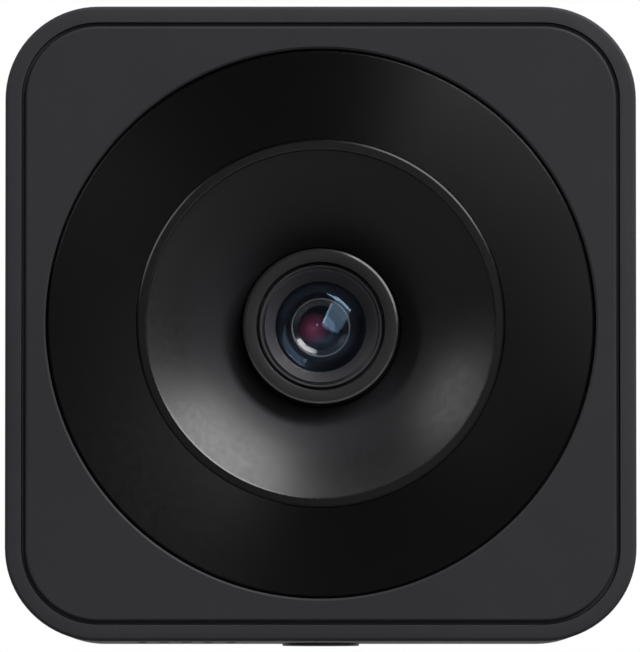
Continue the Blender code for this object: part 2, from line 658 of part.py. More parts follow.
def build_front():
    inset = CASE_WALL + PANEL_GROOVE
    plate = bevel_at_depth(case_slab(inset, 0.0, PANEL_THICKNESS), 0.0, PANEL_EDGE, 1)
    panel = solid("front_panel", plate, "panel_plastic")
    cut(
        panel,
        rod(
            RING_OUTER_RADIUS + RING_GAP,
            (0, -CUT_MARGIN, 0),
            (0, PANEL_THICKNESS + CUT_MARGIN, 0),
            RECESS_STEPS,
        ),
    )

    spigot_radius = RECESS_RADIUS - SEAT_GAP
    ring = [
        (RING_BORE_RADIUS, RING_SETBACK - RING_RISE),
        (RING_OUTER_RADIUS - RING_EDGE, RING_SETBACK),
        (RING_OUTER_RADIUS, RING_SETBACK + RING_EDGE),
        (RING_OUTER_RADIUS, PANEL_THICKNESS),
        (spigot_radius, PANEL_THICKNESS),
        (spigot_radius, BULKHEAD_BACK - RING_BACK_CHAMFER),
        (spigot_radius - RING_BACK_CHAMFER, BULKHEAD_BACK),
        (RING_BORE_RADIUS, BULKHEAD_BACK),
    ]
    turned("trim_ring", ring, "ring_plastic", RECESS_STEPS)

    flange_radius = RECESS_RADIUS + BOWL_FLANGE_OVERLAP
    flange_back = FLANGE_FRONT + BOWL_FLANGE_THICKNESS
    collar_radius = BOWL_HOLE_RADIUS + BOWL_COLLAR_WIDTH
    slope = (BOWL_RIM_RADIUS - BOWL_HOLE_RADIUS) / BOWL_DEPTH
    back_offset = (BOWL_WALL - BOWL_FLARE) * math.hypot(1, slope)
    back_rim = BOWL_HOLE_RADIUS + (BOWL_FLOOR - flange_back) * slope + back_offset
    collar_front = flange_back + (back_rim - collar_radius) / slope
    hole_edge = (BOWL_HOLE_RADIUS, BOWL_FLOOR)
    rim_edge = (BOWL_RIM_RADIUS, BOWL_FRONT)
    bowl = flared_points(hole_edge, rim_edge, BOWL_FLARE, BOWL_POINTS)
    bowl += [
        (BOWL_RIM_RADIUS, LIP_FRONT + LIP_EDGE),
        (BOWL_RIM_RADIUS + LIP_EDGE, LIP_FRONT),
        (LIP_OUTER_RADIUS - LIP_FLANK_WIDTH, LIP_FRONT),
        (LIP_OUTER_RADIUS, LIP_FRONT + LIP_HEIGHT),
        (LIP_OUTER_RADIUS, FLANGE_FRONT),
        (flange_radius, FLANGE_FRONT),
        (flange_radius, flange_back),
        (back_rim, flange_back),
        (collar_radius, collar_front),
        (collar_radius, BOWL_BACK),
        (BOWL_HOLE_RADIUS, BOWL_BACK),
    ]
    turned("lens_bowl", bowl, "bowl_plastic", RECESS_STEPS)


# Lens: a barrel screwed into its holder, with two elements, a stop and a retainer inside


def build_lens():
    mouth_floor = BARREL_FRONT + BARREL_MOUTH_DEPTH
    lens_bore = FRONT_LENS_RADIUS + SEAT_GAP
    rear_bore = REAR_LENS_RADIUS + SEAT_GAP
    lens_front = mouth_floor
    lens_back = lens_front + FRONT_LENS_EDGE
    stop_front = lens_back + SEAT_GAP
    stop_back = stop_front + STOP_THICKNESS
    lens_shoulder = stop_back + SEAT_GAP
    rear_seat = BARREL_BACK - BARREL_BACK_LIP
    barrel = [
        (BARREL_MOUTH_RADIUS, BARREL_FRONT),
        (BARREL_RADIUS - BARREL_EDGE, BARREL_FRONT),
        (BARREL_RADIUS, BARREL_FRONT + BARREL_EDGE),
        (BARREL_RADIUS, GASKET_BACK),
        (BARREL_THREAD_RADIUS, GASKET_BACK),
        (BARREL_THREAD_RADIUS, BARREL_BACK),
        (BARREL_BACK_RADIUS, BARREL_BACK),
        (BARREL_BACK_RADIUS, rear_seat),
        (rear_bore, rear_seat),
        (rear_bore, lens_shoulder),
        (lens_bore, lens_shoulder),
        (lens_bore, mouth_floor),
        (BARREL_MOUTH_RADIUS, mouth_floor),
    ]
    turned("lens_barrel", barrel, "barrel_metal", BARREL_STEPS)

    outer = BARREL_MOUTH_RADIUS - SEAT_GAP
    ridge_front = BARREL_FRONT + RETAINER_SETBACK
    groove_floor = ridge_front + RETAINER_GROOVE_DEPTH
    groove_outer = outer - RETAINER_RIDGE
    cone_radius = groove_outer - RETAINER_GROOVE_WIDTH
    retainer = [
        (RETAINER_MOUTH_RADIUS, ridge_front + RETAINER_CONE_DEPTH),
        (cone_radius, ridge_front),
        (cone_radius, groove_floor),
        (groove_outer, groove_floor),
        (groove_outer, ridge_front),
        (outer, ridge_front),
        (outer, mouth_floor - SEAT_GAP),
        (RETAINER_MOUTH_RADIUS, mouth_floor - SEAT_GAP),
    ]
    turned("lens_retainer", retainer, "barrel_metal", BARREL_STEPS)

    dome_sphere = cap_sphere(FRONT_LENS_DOME_RADIUS, FRONT_LENS_DOME_HEIGHT)
    dome_centre = lens_front - FRONT_LENS_DOME_HEIGHT + dome_sphere
    dome = arc_points(dome_sphere, 0.0, 0.0, FRONT_LENS_DOME_RADIUS, DOME_POINTS)
    hollow_sphere = cap_sphere(FRONT_LENS_HOLLOW_RADIUS, FRONT_LENS_HOLLOW_DEPTH)
    hollow_centre = lens_back - FRONT_LENS_HOLLOW_DEPTH + hollow_sphere
    hollow = arc_points(hollow_sphere, 0.0, FRONT_LENS_HOLLOW_RADIUS, 0.0, HOLLOW_POINTS)
    front_lens = [(r, dome_centre - y) for r, y in dome]
    front_lens += [(FRONT_LENS_RADIUS, lens_front), (FRONT_LENS_RADIUS, lens_back)]
    front_lens += [(r, hollow_centre - y) for r, y in hollow]
    turned("front_lens", front_lens, "lens_glass", BARREL_STEPS)

    stop = [
        (STOP_HOLE_RADIUS, stop_front),
        (FRONT_LENS_RADIUS, stop_front),
        (FRONT_LENS_RADIUS, stop_back),
        (STOP_HOLE_RADIUS, stop_back),
    ]
    turned("lens_stop", stop, "inner_black", BARREL_STEPS)

    rear_back = rear_seat - SEAT_GAP
    rear_front = rear_back - REAR_LENS_LENGTH
    bulge_sphere = cap_sphere(REAR_LENS_RADIUS, REAR_LENS_BULGE)
    bulge = arc_points(bulge_sphere, 0.0, 0.0, REAR_LENS_RADIUS, HOLLOW_POINTS)
    rear_lens = [(r, rear_front + bulge_sphere - y) for r, y in bulge]
    rear_lens += [(REAR_LENS_RADIUS, rear_back), (0.0, rear_back)]
    turned("rear_lens", rear_lens, "lens_glass", SMALL_STEPS * 2)

    gasket_inner = BARREL_RADIUS + SEAT_GAP
    gasket = [
        (gasket_inner, GASKET_FRONT),
        (gasket_inner + GASKET_WIDTH, GASKET_FRONT),
        (gasket_inner + GASKET_WIDTH, GASKET_BACK),
        (gasket_inner, GASKET_BACK),
    ]
    turned("lens_gasket", gasket, "foam_rubber", BARREL_STEPS)

    thread_bore = BARREL_THREAD_RADIUS + SEAT_GAP
    base_front = HOLDER_BACK - HOLDER_BASE_DEPTH
    base = slab(HOLDER_BASE, HOLDER_BASE, base_front, HOLDER_BACK, HOLDER_CORNER_RADIUS)
    holder = solid("lens_holder", base, "inner_black")
    tube_radius = thread_bore + HOLDER_TUBE_WALL
    tube_back = base_front + HOLDER_BASE_DEPTH / 2
    join(holder, rod(tube_radius, (0, HOLDER_FRONT, 0), (0, tube_back, 0), BARREL_STEPS))
    cavity = FILTER_SIDE + 2 * SEAT_GAP
    cut(
        holder,
        rod(thread_bore, (0, HOLDER_FRONT - CUT_MARGIN, 0), (0, LEDGE_FRONT, 0), BARREL_STEPS),
        slab(cavity, cavity, LEDGE_BACK, HOLDER_BACK + CUT_MARGIN),
    )
    cut(holder, rod(HOLDER_LEDGE_RADIUS, (0, LEDGE_FRONT - CUT_MARGIN, 0), (0, LEDGE_BACK + CUT_MARGIN, 0)))

    filter_back = FILTER_FRONT + FILTER_THICKNESS
    solid("infrared_filter", slab(FILTER_SIDE, FILTER_SIDE, FILTER_FRONT, filter_back), "filter_glass")
    solid("image_sensor", slab(SENSOR_SIDE, SENSOR_SIDE, SENSOR_FRONT, HOLDER_BACK), "chip_black")


# Boards: the sensor board stands on the main board, which the case screws clamp at its corners


def build_boards():
    sensor_board = slab(
        SENSOR_BOARD_SIDE,
        SENSOR_BOARD_SIDE,
        SENSOR_BOARD_FRONT,
        SENSOR_BOARD_BACK,
        SENSOR_BOARD_CORNER_RADIUS,
        segments=EDGE_STEPS,
    )
    solid("sensor_board", sensor_board, "circuit_board")
    connector_back = MAIN_BOARD_FRONT - SEAT_GAP
    connector = slab(CONNECTOR_WIDTH, CONNECTOR_HEIGHT, CONNECTOR_FRONT, connector_back)
    solid("board_connector", connector, "inner_black")

    inset = CASE_WALL + MAIN_BOARD_MARGIN
    board = slab(
        CASE_WIDTH - 2 * inset,
        CASE_HEIGHT - 2 * inset,
        MAIN_BOARD_FRONT,
        MAIN_BOARD_BACK,
        MAIN_BOARD_CORNER_RADIUS,
        segments=5,
    )
    main_board = solid("main_board", board, "circuit_board")
    through = (MAIN_BOARD_FRONT - CUT_MARGIN, MAIN_BOARD_BACK + CUT_MARGIN)
    cut(
        main_board,
        *[rod(SCREW_HOLE_RADIUS, (x, through[0], z), (x, through[1], z)) for x, z in SCREW_PLACES],
    )

    chip_back = MAIN_BOARD_FRONT - SEAT_GAP
    chip_front = chip_back - PROCESSOR_THICKNESS
    chip = slab(PROCESSOR_SIDE, PROCESSOR_SIDE, chip_front, chip_back, x=PROCESSOR_X, z=PROCESSOR_Z)
    solid("processor", chip, "chip_black")
    sink_back = chip_front - SEAT_GAP
    base_front = sink_back - HEAT_SINK_BASE
    base = slab(HEAT_SINK_SIDE, HEAT_SINK_SIDE, base_front, sink_back, x=PROCESSOR_X, z=PROCESSOR_Z)
    heat_sink = solid("heat_sink", base, "aluminium")
    pitch = (HEAT_SINK_SIDE - HEAT_SINK_FIN_WIDTH) / (HEAT_SINK_FINS - 1)
    fin_front = base_front - HEAT_SINK_FIN_HEIGHT
    fin_root = base_front + HEAT_SINK_BASE / 2
    fins = []
    for index in range(HEAT_SINK_FINS):
        x = PROCESSOR_X + (index - (HEAT_SINK_FINS - 1) / 2) * pitch
        fins.append(
            slab(HEAT_SINK_FIN_WIDTH, HEAT_SINK_SIDE, fin_front, fin_root, x=x, z=PROCESSOR_Z)
        )
    join(heat_sink, *fins)

    microphone_back = MAIN_BOARD_FRONT - SEAT_GAP
    board_bottom = inset - HALF_HEIGHT
    microphone = slab(
        MICROPHONE_SIDE,
        MICROPHONE_SIDE,
        microphone_back - MICROPHONE_THICKNESS,
        microphone_back,
        x=MICROPHONE_X,
        z=board_bottom + MICROPHONE_SIDE / 2,
    )
    solid("microphone", microphone, "steel")


def build_power_and_sound():
    capacitor_y = MAIN_BOARD_FRONT - SEAT_GAP - CAPACITOR_RADIUS
    for name, side in (("left_capacitor", -1), ("right_capacitor", 1)):
        middle = side * CAPACITOR_X
        can = rod(
            CAPACITOR_RADIUS,
            (middle - CAPACITOR_LENGTH / 2, capacitor_y, CAPACITOR_Z),
            (middle + CAPACITOR_LENGTH / 2, capacitor_y, CAPACITOR_Z),
            SMALL_STEPS,
        )
        rims = [e for e in can.edges if abs(e.verts[0].co.x - e.verts[1].co.x) < CAPACITOR_EDGE / 100]
        bmesh.ops.bevel(can, geom=rims, offset=CAPACITOR_EDGE, segments=2, profile=0.5, affect="EDGES")
        solid(name, can, "capacitor_sleeve")

    speaker_bottom = SEAT_GAP - INNER_HALF_HEIGHT
    speaker = block(
        (SPEAKER_X, SPEAKER_Y, speaker_bottom + SPEAKER_THICKNESS / 2),
        (SPEAKER_WIDTH, SPEAKER_DEPTH, SPEAKER_THICKNESS),
        (0, 0, 1),
        SPEAKER_CORNER_RADIUS,
        4,
    )
    solid("speaker", speaker, "inner_black")


# Sockets in the sides, and the card that slides out of its own


def build_sockets():
    middle_x = USB_MOUTH + USB_LENGTH / 2
    shell = block(
        (middle_x, USB_Y, USB_Z),
        (USB_LENGTH, USB_THICKNESS, USB_WIDTH),
        (1, 0, 0),
        USB_CORNER_RADIUS,
        CORNER_STEPS // 2,
    )
    usb = solid("usb_socket", shell, "steel")
    hollow_depth = USB_LENGTH - USB_BACK
    hollow = block(
        (USB_MOUTH + (hollow_depth - CUT_MARGIN) / 2, USB_Y, USB_Z),
        (hollow_depth + CUT_MARGIN, USB_THICKNESS - 2 * USB_SHELL, USB_WIDTH - 2 * USB_SHELL),
        (1, 0, 0),
        USB_CORNER_RADIUS - USB_SHELL,
        CORNER_STEPS // 2,
    )
    cut(usb, hollow)
    tongue_root = USB_MOUTH + hollow_depth + USB_BACK / 2
    tongue = block(
        (tongue_root - (USB_TONGUE_LENGTH + USB_BACK / 2) / 2, USB_Y, USB_Z),
        (USB_TONGUE_LENGTH + USB_BACK / 2, USB_TONGUE_THICKNESS, USB_TONGUE_WIDTH),
    )
    join(usb, tongue)

    socket_mouth = INNER_HALF_WIDTH - SEAT_GAP
    slot_end = CARD_INNER - CARD_OVERTRAVEL
    socket_end = slot_end - CARD_SOCKET_WALL
    socket = solid(
        "card_socket",
        block(
            ((socket_mouth + socket_end) / 2, CARD_Y, CARD_Z),
            (socket_mouth - socket_end, CARD_SOCKET_THICKNESS, CARD_SOCKET_WIDTH),
        ),
        "steel",
    )
    cut(
        socket,
        block(
            ((socket_mouth + CUT_MARGIN + slot_end) / 2, CARD_Y, CARD_Z),
            (
                socket_mouth + CUT_MARGIN - slot_end,
                CARD_THICKNESS + 2 * SLIDE_GAP,
                CARD_WIDTH + 2 * SLIDE_GAP,
            ),
        ),
    )
    card_middle = ((CARD_INNER + CARD_OUTER) / 2, CARD_Y, CARD_Z)
    card = block(card_middle, (CARD_LENGTH, CARD_THICKNESS, CARD_WIDTH), (0, 1, 0), CARD_CORNER, 3)
    solid("memory_card", card, "card_plastic", card_middle)


# Rear cover with the display behind its window


def build_cover():
    shell = case_slab(0.0, COVER_FRONT, CAMERA_DEPTH)
    bevel_at_depth(shell, CAMERA_DEPTH, COVER_EDGE_RADIUS, EDGE_STEPS)
    cover = solid("rear_cover", shell, "case_plastic")
    lip_inset = CASE_WALL + SEAT_GAP
    lip_front = CASE_BACK - COVER_LIP_DEPTH
    join(cover, case_slab(lip_inset, lip_front, COVER_FRONT + CASE_WALL / 2))
    cut(cover, case_slab(lip_inset + COVER_LIP_WALL, lip_front - CUT_MARGIN, COVER_INNER))
    post_back = COVER_INNER + COVER_WALL / 4
    join(cover, *[rod(BOSS_RADIUS, (x, POST_FRONT, z), (x, post_back, z)) for x, z in SCREW_PLACES])

    recess_depth = WINDOW_THICKNESS + SEAT_GAP
    view_width = WINDOW_WIDTH - 2 * WINDOW_LEDGE
    view_height = WINDOW_HEIGHT - 2 * WINDOW_LEDGE
    head_floor = CAMERA_DEPTH - SCREW_COUNTERBORE
    window_recess = slab(
        WINDOW_WIDTH + 2 * SEAT_GAP,
        WINDOW_HEIGHT + 2 * SEAT_GAP,
        CAMERA_DEPTH - recess_depth,
        CAMERA_DEPTH + CUT_MARGIN,
        WINDOW_CORNER_RADIUS + SEAT_GAP,
        z=WINDOW_Z,
        segments=5,
    )
    counterbores = [
        rod(SCREW_HEAD_RADIUS + SLIDE_GAP, (x, head_floor, z), (x, CAMERA_DEPTH + CUT_MARGIN, z))
        for x, z in SCREW_PLACES
    ]
    key_holes = [
        slab(
            KEY_WIDTH + 2 * SLIDE_GAP,
            KEY_HEIGHT + 2 * SLIDE_GAP,
            COVER_INNER - CUT_MARGIN,
            CAMERA_DEPTH + CUT_MARGIN,
            KEY_CORNER_RADIUS + SLIDE_GAP,
            x=x,
            z=KEY_Z,
            segments=4,
        )
        for x in KEY_PLACES
    ]
    light_z = light_height()
    light_hole = rod(
        LIGHT_RADIUS + SEAT_GAP,
        (0, COVER_INNER - CUT_MARGIN, light_z),
        (0, CAMERA_DEPTH + CUT_MARGIN, light_z),
    )
    cut(cover, window_recess, light_hole, *counterbores, *key_holes)
    shanks = [
        rod(SCREW_HOLE_RADIUS, (x, POST_FRONT - CUT_MARGIN, z), (x, head_floor + CUT_MARGIN, z))
        for x, z in SCREW_PLACES
    ]
    view = slab(
        view_width,
        view_height,
        COVER_INNER - CUT_MARGIN,
        CAMERA_DEPTH,
        VIEW_CORNER_RADIUS,
        z=WINDOW_Z,
        segments=EDGE_STEPS,
    )
    cut(cover, view, *shanks)

    light = [
        (0.0, -CAMERA_DEPTH + LIGHT_SETBACK),
        (LIGHT_RADIUS, -CAMERA_DEPTH + LIGHT_SETBACK),
        (LIGHT_RADIUS, -COVER_INNER + SEAT_GAP),
        (LIGHT_RADIUS + LIGHT_FLANGE, -COVER_INNER + SEAT_GAP),
        (LIGHT_RADIUS + LIGHT_FLANGE, -COVER_INNER + SEAT_GAP + LIGHT_FLANGE_THICKNESS),
        (0.0, -COVER_INNER + SEAT_GAP + LIGHT_FLANGE_THICKNESS),
    ]
    pipe = turned("status_light", [(r, -y) for r, y in reversed(light)], "light_pipe", SMALL_STEPS)
    pipe.location.z = light_z


def light_height():
    """The height of the status light, under the window."""
    return WINDOW_Z - WINDOW_HEIGHT / 2 - LIGHT_DROP


def build_display():
    window = slab(
        WINDOW_WIDTH,
        WINDOW_HEIGHT,
        CAMERA_DEPTH - WINDOW_THICKNESS,
        CAMERA_DEPTH,
        WINDOW_CORNER_RADIUS,
        z=WINDOW_Z,
        segments=5,
    )
    solid("display_window", window, "window_black")
    display_height = WINDOW_HEIGHT - 2 * DISPLAY_MARGIN
    display = slab(
        WINDOW_WIDTH - 2 * DISPLAY_MARGIN,
        display_height,
        DISPLAY_FRONT,
        DISPLAY_BACK,
        DISPLAY_CORNER_RADIUS,
        z=WINDOW_Z,
        segments=EDGE_STEPS,
    )
    solid("display_panel", display, "display_grey")

    back_run = DISPLAY_FRONT - RIBBON_GAP - RIBBON_THICKNESS
    front_run = MAIN_BOARD_BACK + RIBBON_GAP
    bend_radius = (back_run - front_run) / 2
    display_foot = WINDOW_Z - display_height / 2
    path = [(back_run, display_foot + RIBBON_OVERLAP)]
    for step in range(RIBBON_BEND_POINTS + 1):
        angle = math.pi * step / RIBBON_BEND_POINTS
        path.append(
            (
                front_run + bend_radius + bend_radius * math.cos(angle),
                display_foot - bend_radius * math.sin(angle),
            )
        )
    path.append((front_run, display_foot + RIBBON_TAIL))
    strip = bmesh.new()
    rows = [[strip.verts.new((x, y, z)) for y, z in path] for x in (-RIBBON_WIDTH / 2, RIBBON_WIDTH / 2)]
    for index in range(len(path) - 1):
        strip.faces.new((rows[0][index], rows[0][index + 1], rows[1][index + 1], rows[1][index]))
    ribbon = solid("display_ribbon", strip, "ribbon_film")
    sheet = ribbon.modifiers.new("thickness", "SOLIDIFY")
    sheet.thickness = RIBBON_THICKNESS
    sheet.offset = 0.0
    sheet.use_even_offset = True


# Keys under the display, their switches and board, and the button in the underside


def build_keys():
    key_back = CAMERA_DEPTH + KEY_PROUD
    flange_back = KEY_FRONT + KEY_FLANGE_THICKNESS
    for name, x in zip(KEY_NAMES, KEY_PLACES):
        middle = (x, (KEY_FRONT + key_back) / 2, KEY_Z)
        cap = slab(KEY_WIDTH, KEY_HEIGHT, KEY_FRONT, key_back, KEY_CORNER_RADIUS, x=x, z=KEY_Z, segments=4)
        bevel_at_depth(cap, key_back, KEY_EDGE, 2)
        key = solid(name, cap, "key_plastic", middle)
        flange_height = KEY_HEIGHT + 2 * (SLIDE_GAP + KEY_FLANGE)
        join(key, slab(KEY_WIDTH - KEY_CORNER_RADIUS, flange_height, KEY_FRONT, flange_back, x=x, z=KEY_Z))
        switch = slab(
            KEY_SWITCH_SIDE,
            KEY_SWITCH_SIDE,
            KEY_BOARD_BACK + SEAT_GAP,
            KEY_SWITCH_BACK,
            KEY_SWITCH_CORNER_RADIUS,
            x=x,
            z=KEY_Z,
            segments=SLOT_STEPS,
        )
        solid(name + "_switch", switch, "steel")

    board_width = 3 * KEY_PITCH + KEY_WIDTH
    board = slab(
        board_width,
        KEY_BOARD_HEIGHT,
        KEY_BOARD_FRONT,
        KEY_BOARD_BACK,
        KEY_BOARD_CORNER_RADIUS,
        z=KEY_Z,
        segments=EDGE_STEPS,
    )
    solid("key_board", board, "circuit_board")
    header = slab(KEY_HEADER_WIDTH, KEY_HEADER_HEIGHT, POST_FRONT, KEY_BOARD_FRONT - SEAT_GAP, z=KEY_Z)
    solid("key_header", header, "inner_black")


def build_button():
    outside = -HALF_HEIGHT - BUTTON_PROUD
    flange_bottom = SEAT_GAP - INNER_HALF_HEIGHT
    flange_top = flange_bottom + BUTTON_FLANGE_THICKNESS
    flange_radius = BUTTON_RADIUS + SLIDE_GAP + BUTTON_FLANGE
    stem_top = flange_top + BUTTON_STEM_LENGTH
    middle = (outside + stem_top) / 2
    profile = [
        (0.0, stem_top),
        (BUTTON_STEM_RADIUS, stem_top),
        (BUTTON_STEM_RADIUS, flange_top),
        (flange_radius, flange_top),
        (flange_radius, flange_bottom),
        (BUTTON_RADIUS, flange_bottom),
        (BUTTON_RADIUS, outside + BUTTON_EDGE),
        (BUTTON_RADIUS - BUTTON_EDGE, outside),
        (0.0, outside),
    ]
    centred = [(r, z - middle) for r, z in profile]
    turned("record_button", centred, "key_plastic", 2 * SMALL_STEPS, (0, BUTTON_Y, middle), upright=True)

    switch_bottom = stem_top + BUTTON_TRAVEL + SEAT_GAP
    switch_depth = 2 * (MAIN_BOARD_FRONT - SEAT_GAP - BUTTON_Y)
    switch = block(
        (0, BUTTON_Y, switch_bottom + BUTTON_SWITCH_HEIGHT / 2),
        (BUTTON_SWITCH_WIDTH, switch_depth, BUTTON_SWITCH_HEIGHT),
    )
    solid("record_switch", switch, "inner_black")


# Mount plate and the screws


def build_mount():
    plate = solid(
        "mount_plate",
        block(
            (0, PLATE_Y, HALF_HEIGHT - PLATE_THICKNESS / 2),
            (PLATE_WIDTH, PLATE_DEPTH, PLATE_THICKNESS),
            (0, 0, 1),
            PLATE_CORNER_RADIUS,
            4,
        ),
        "steel",
    )
    places = (-PLATE_SCREW_X, PLATE_SCREW_X)
    head_top = HALF_HEIGHT - PLATE_SCREW_SETBACK
    head_bottom = head_top - PLATE_SCREW_HEAD_HEIGHT
    sinks = []
    for x in places:
        sink = bmesh.new()
        bmesh.ops.create_cone(
            sink,
            cap_ends=True,
            segments=SMALL_STEPS,
            radius1=PLATE_SCREW_RADIUS + SEAT_GAP,
            radius2=PLATE_SCREW_HEAD_RADIUS + 2 * SEAT_GAP,
            depth=PLATE_SCREW_HEAD_HEIGHT + SEAT_GAP,
        )
        middle = head_bottom + (PLATE_SCREW_HEAD_HEIGHT + SEAT_GAP) / 2
        bmesh.ops.translate(sink, vec=(x, PLATE_Y, middle), verts=sink.verts)
        sinks.append(sink)
    cut(plate, *sinks)
    shank_bottom = HALF_HEIGHT - PLATE_THICKNESS - CUT_MARGIN
    cut(
        plate,
        *[
            rod(PLATE_SCREW_RADIUS + SEAT_GAP, (x, PLATE_Y, shank_bottom), (x, PLATE_Y, head_top))
            for x in places
        ],
    )
    profile = [
        (0.0, head_top),
        (PLATE_SCREW_HEAD_RADIUS, head_top),
        (PLATE_SCREW_RADIUS, head_bottom),
        (PLATE_SCREW_RADIUS, head_top - PLATE_SCREW_LENGTH),
        (0.0, head_top - PLATE_SCREW_LENGTH),
    ]
    for name, x in zip(("mount_screw_left", "mount_screw_right"), places):
        screw = turned(name, profile, "screw_black", SMALL_STEPS, upright=True)
        screw.location = (x, PLATE_Y, 0)


def build_case_screws():
    seat = CAMERA_DEPTH - SCREW_COUNTERBORE + SEAT_GAP
    head_back = seat + SCREW_HEAD_HEIGHT
    profile = [
        (0.0, seat - SCREW_LENGTH),
        (SCREW_RADIUS, seat - SCREW_LENGTH),
        (SCREW_RADIUS, seat),
        (SCREW_HEAD_RADIUS, seat),
        (SCREW_HEAD_RADIUS, head_back),
        (0.0, head_back),
    ]
    corners = ("lower_left", "upper_left", "lower_right", "upper_right")
    for corner, (x, z) in zip(corners, SCREW_PLACES):
        screw = turned("case_screw_" + corner, profile, "screw_black", SMALL_STEPS)
        screw.location = (x, 0, z)


clear_scene()
PARTS = add_collection("dash_camera")
CUTTERS = add_collection("cutters")
FRAME = bpy.data.objects.new("camera_frame", None)
PARTS.objects.link(FRAME)
FRAME.location = (0, -PLATE_Y, -HALF_HEIGHT)

build_case()
build_front()
build_lens()
build_boards()
build_power_and_sound()
build_sockets()
build_cover()
build_display()
build_keys()
build_button()
build_mount()
build_case_screws()
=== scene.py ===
"""Looks of the dash camera: finer pieces over the solids, procedural finishes, studio light and camera.

Sizes are in millimetres in the camera's own frame, as in the solids. The lens axis is Y, the lens looks
towards -Y, and depths count back from the front rim. MM and PLACE turn them into the frame of the model.
"""

import json
import math

import bmesh
import bpy
from mathutils import Matrix, Vector


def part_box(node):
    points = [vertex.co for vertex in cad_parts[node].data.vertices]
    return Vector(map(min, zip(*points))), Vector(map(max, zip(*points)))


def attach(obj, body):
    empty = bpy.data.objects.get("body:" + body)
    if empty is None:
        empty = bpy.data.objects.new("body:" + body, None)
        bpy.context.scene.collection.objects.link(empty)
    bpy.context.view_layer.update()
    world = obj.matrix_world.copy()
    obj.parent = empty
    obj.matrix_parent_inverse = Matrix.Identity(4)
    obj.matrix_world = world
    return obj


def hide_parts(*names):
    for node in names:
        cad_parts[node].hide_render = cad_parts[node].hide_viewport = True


MM = 0.001

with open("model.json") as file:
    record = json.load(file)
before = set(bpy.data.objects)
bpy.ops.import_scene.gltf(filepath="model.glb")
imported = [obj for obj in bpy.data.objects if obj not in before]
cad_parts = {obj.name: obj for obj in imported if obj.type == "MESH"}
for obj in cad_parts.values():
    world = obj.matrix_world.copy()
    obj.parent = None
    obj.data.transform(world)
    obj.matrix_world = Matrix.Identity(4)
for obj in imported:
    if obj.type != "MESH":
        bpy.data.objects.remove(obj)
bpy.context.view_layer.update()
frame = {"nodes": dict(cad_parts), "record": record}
NODES = frame["nodes"]

# Where the lens axis meets the plane of the front rim
PLACE = Vector((0.0, -15.0, -31.2)) * MM


def local_depth(node, end):
    """Depth of a node's front (0) or back (1), behind the front rim."""
    return (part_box(node)[end].y - PLACE.y) / MM


def local_height(node, end):
    """Height of a node's underside (0) or top (1), above the lens axis."""
    return (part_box(node)[end].z - PLACE.z) / MM


def middle_depth(node):
    return (local_depth(node, 0) + local_depth(node, 1)) / 2


# Case
CASE_WIDTH = 62.0
CASE_HEIGHT = 62.4
CASE_CORNER = 9.15
CASE_WALL = 1.6
CASE_EDGE = 0.4
CASE_BACK = local_depth("case", 1)
CASE_BEVEL = 0.15
HALF_WIDTH = CASE_WIDTH / 2
HALF_HEIGHT = CASE_HEIGHT / 2
BULKHEAD = (2.1, 3.6)
SEAT_GAP = 0.3

# Openings in the case: places, sizes through the wall, and corner radii. Cutters run past what they open
THROUGH = 1.0
CAVITY_CUT = 30.0
RECESS_CUT = (1.0, 5.0)
CUT_LENGTH = 5.0
BOTTOM_CUT = (-HALF_HEIGHT - 2.0, -HALF_HEIGHT + 3.0)
USB_Z = 8.0
USB_OPENING = (CUT_LENGTH, 3.86, 9.54)
USB_CORNER = 1.85
CARD_Z = -6.5
CARD_SLOT = (CUT_LENGTH, 1.6, 11.6)
THUMB_RADIUS = 3.0
THUMB_X = HALF_WIDTH + 2.3
THUMB_REACH = 5.5
BUTTON_Y = 19.4
BUTTON_HOLE = 4.15
MICROPHONE_X = 13.0
MICROPHONE_HOLE = 0.5
PLATE_Y = 15.0
PLATE_POCKET = (26.6, 15.6, 2.4)
PLATE_CORNER = 2.3
PLATE_PAD = (29.6, 18.6, 2.6)
PLATE_PAD_Z = 29.0
SLOT_COUNT = 5
SPEAKER_X = -13.4
SPEAKER_Y = 14.0
SPEAKER_PITCH = 2.2
SPEAKER_SLOT = (1.0, 7.0, CUT_LENGTH)
SPEAKER_CORNER = 0.45
VENT_Y = 12.0
VENT_Z = 13.0
VENT_PITCH = 2.5
VENT_SLOT = (CUT_LENGTH, 9.0, 1.2)
VENT_CORNER = 0.55
SCREEN_SIZE = (0.5, 10.4, 12.8)
SCREEN_CORNER = 0.8
SCREEN_X = HALF_WIDTH - CASE_WALL - 0.24

# Front panel: a plate with a lower flange, which is the floor of the groove inside the rim
PANEL_INSET = 1.95
PANEL_BACK = 1.8
PANEL_EDGE = 0.3
PANEL_HOLE = 27.05
PANEL_CHAMFER = (0.2, 0.14)
PANEL_CUT = 3.0
PANEL_SHARP = 28
FLANGE_INSET = 1.66
FLANGE_FRONT = 0.5

# Trim ring: its front falls away from the lip, and a cut edge runs round the outside
RING_STEPS = 256
RING_RADIUS = 26.85
RING_BORE = 18.13
RING_FRONT = -0.14
RING_FALL = 0.3
RING_CHAMFER = (0.18, 0.13)
RING_SOFT = 0.04
RECESS_RADIUS = 24.5

# Bowl: a flared wall that ends in a lip with cut edges, and a seat and a neck at the back
LIP_RADIUS = 18.1
LIP_TOP = -0.28
LIP_FALL = 0.03
LIP_DEPTH = 0.9
LIP_CHAMFER = (0.22, 0.17)
BOWL_CHAMFER = (0.14, 0.07)
BOWL_RIM = 17.1
BOWL_FRONT = 1.8
BOWL_FLOOR = 10.0
BOWL_HOLE = 8.0
BOWL_FLARE = 0.6
BOWL_SEAT_RADIUS = 27.0
BOWL_SEAT = (3.9, 5.2)
BOWL_SHELL_RADIUS = 14.22
BOWL_NECK_RADIUS = 9.2
BOWL_NECK = (9.73, 11.3)

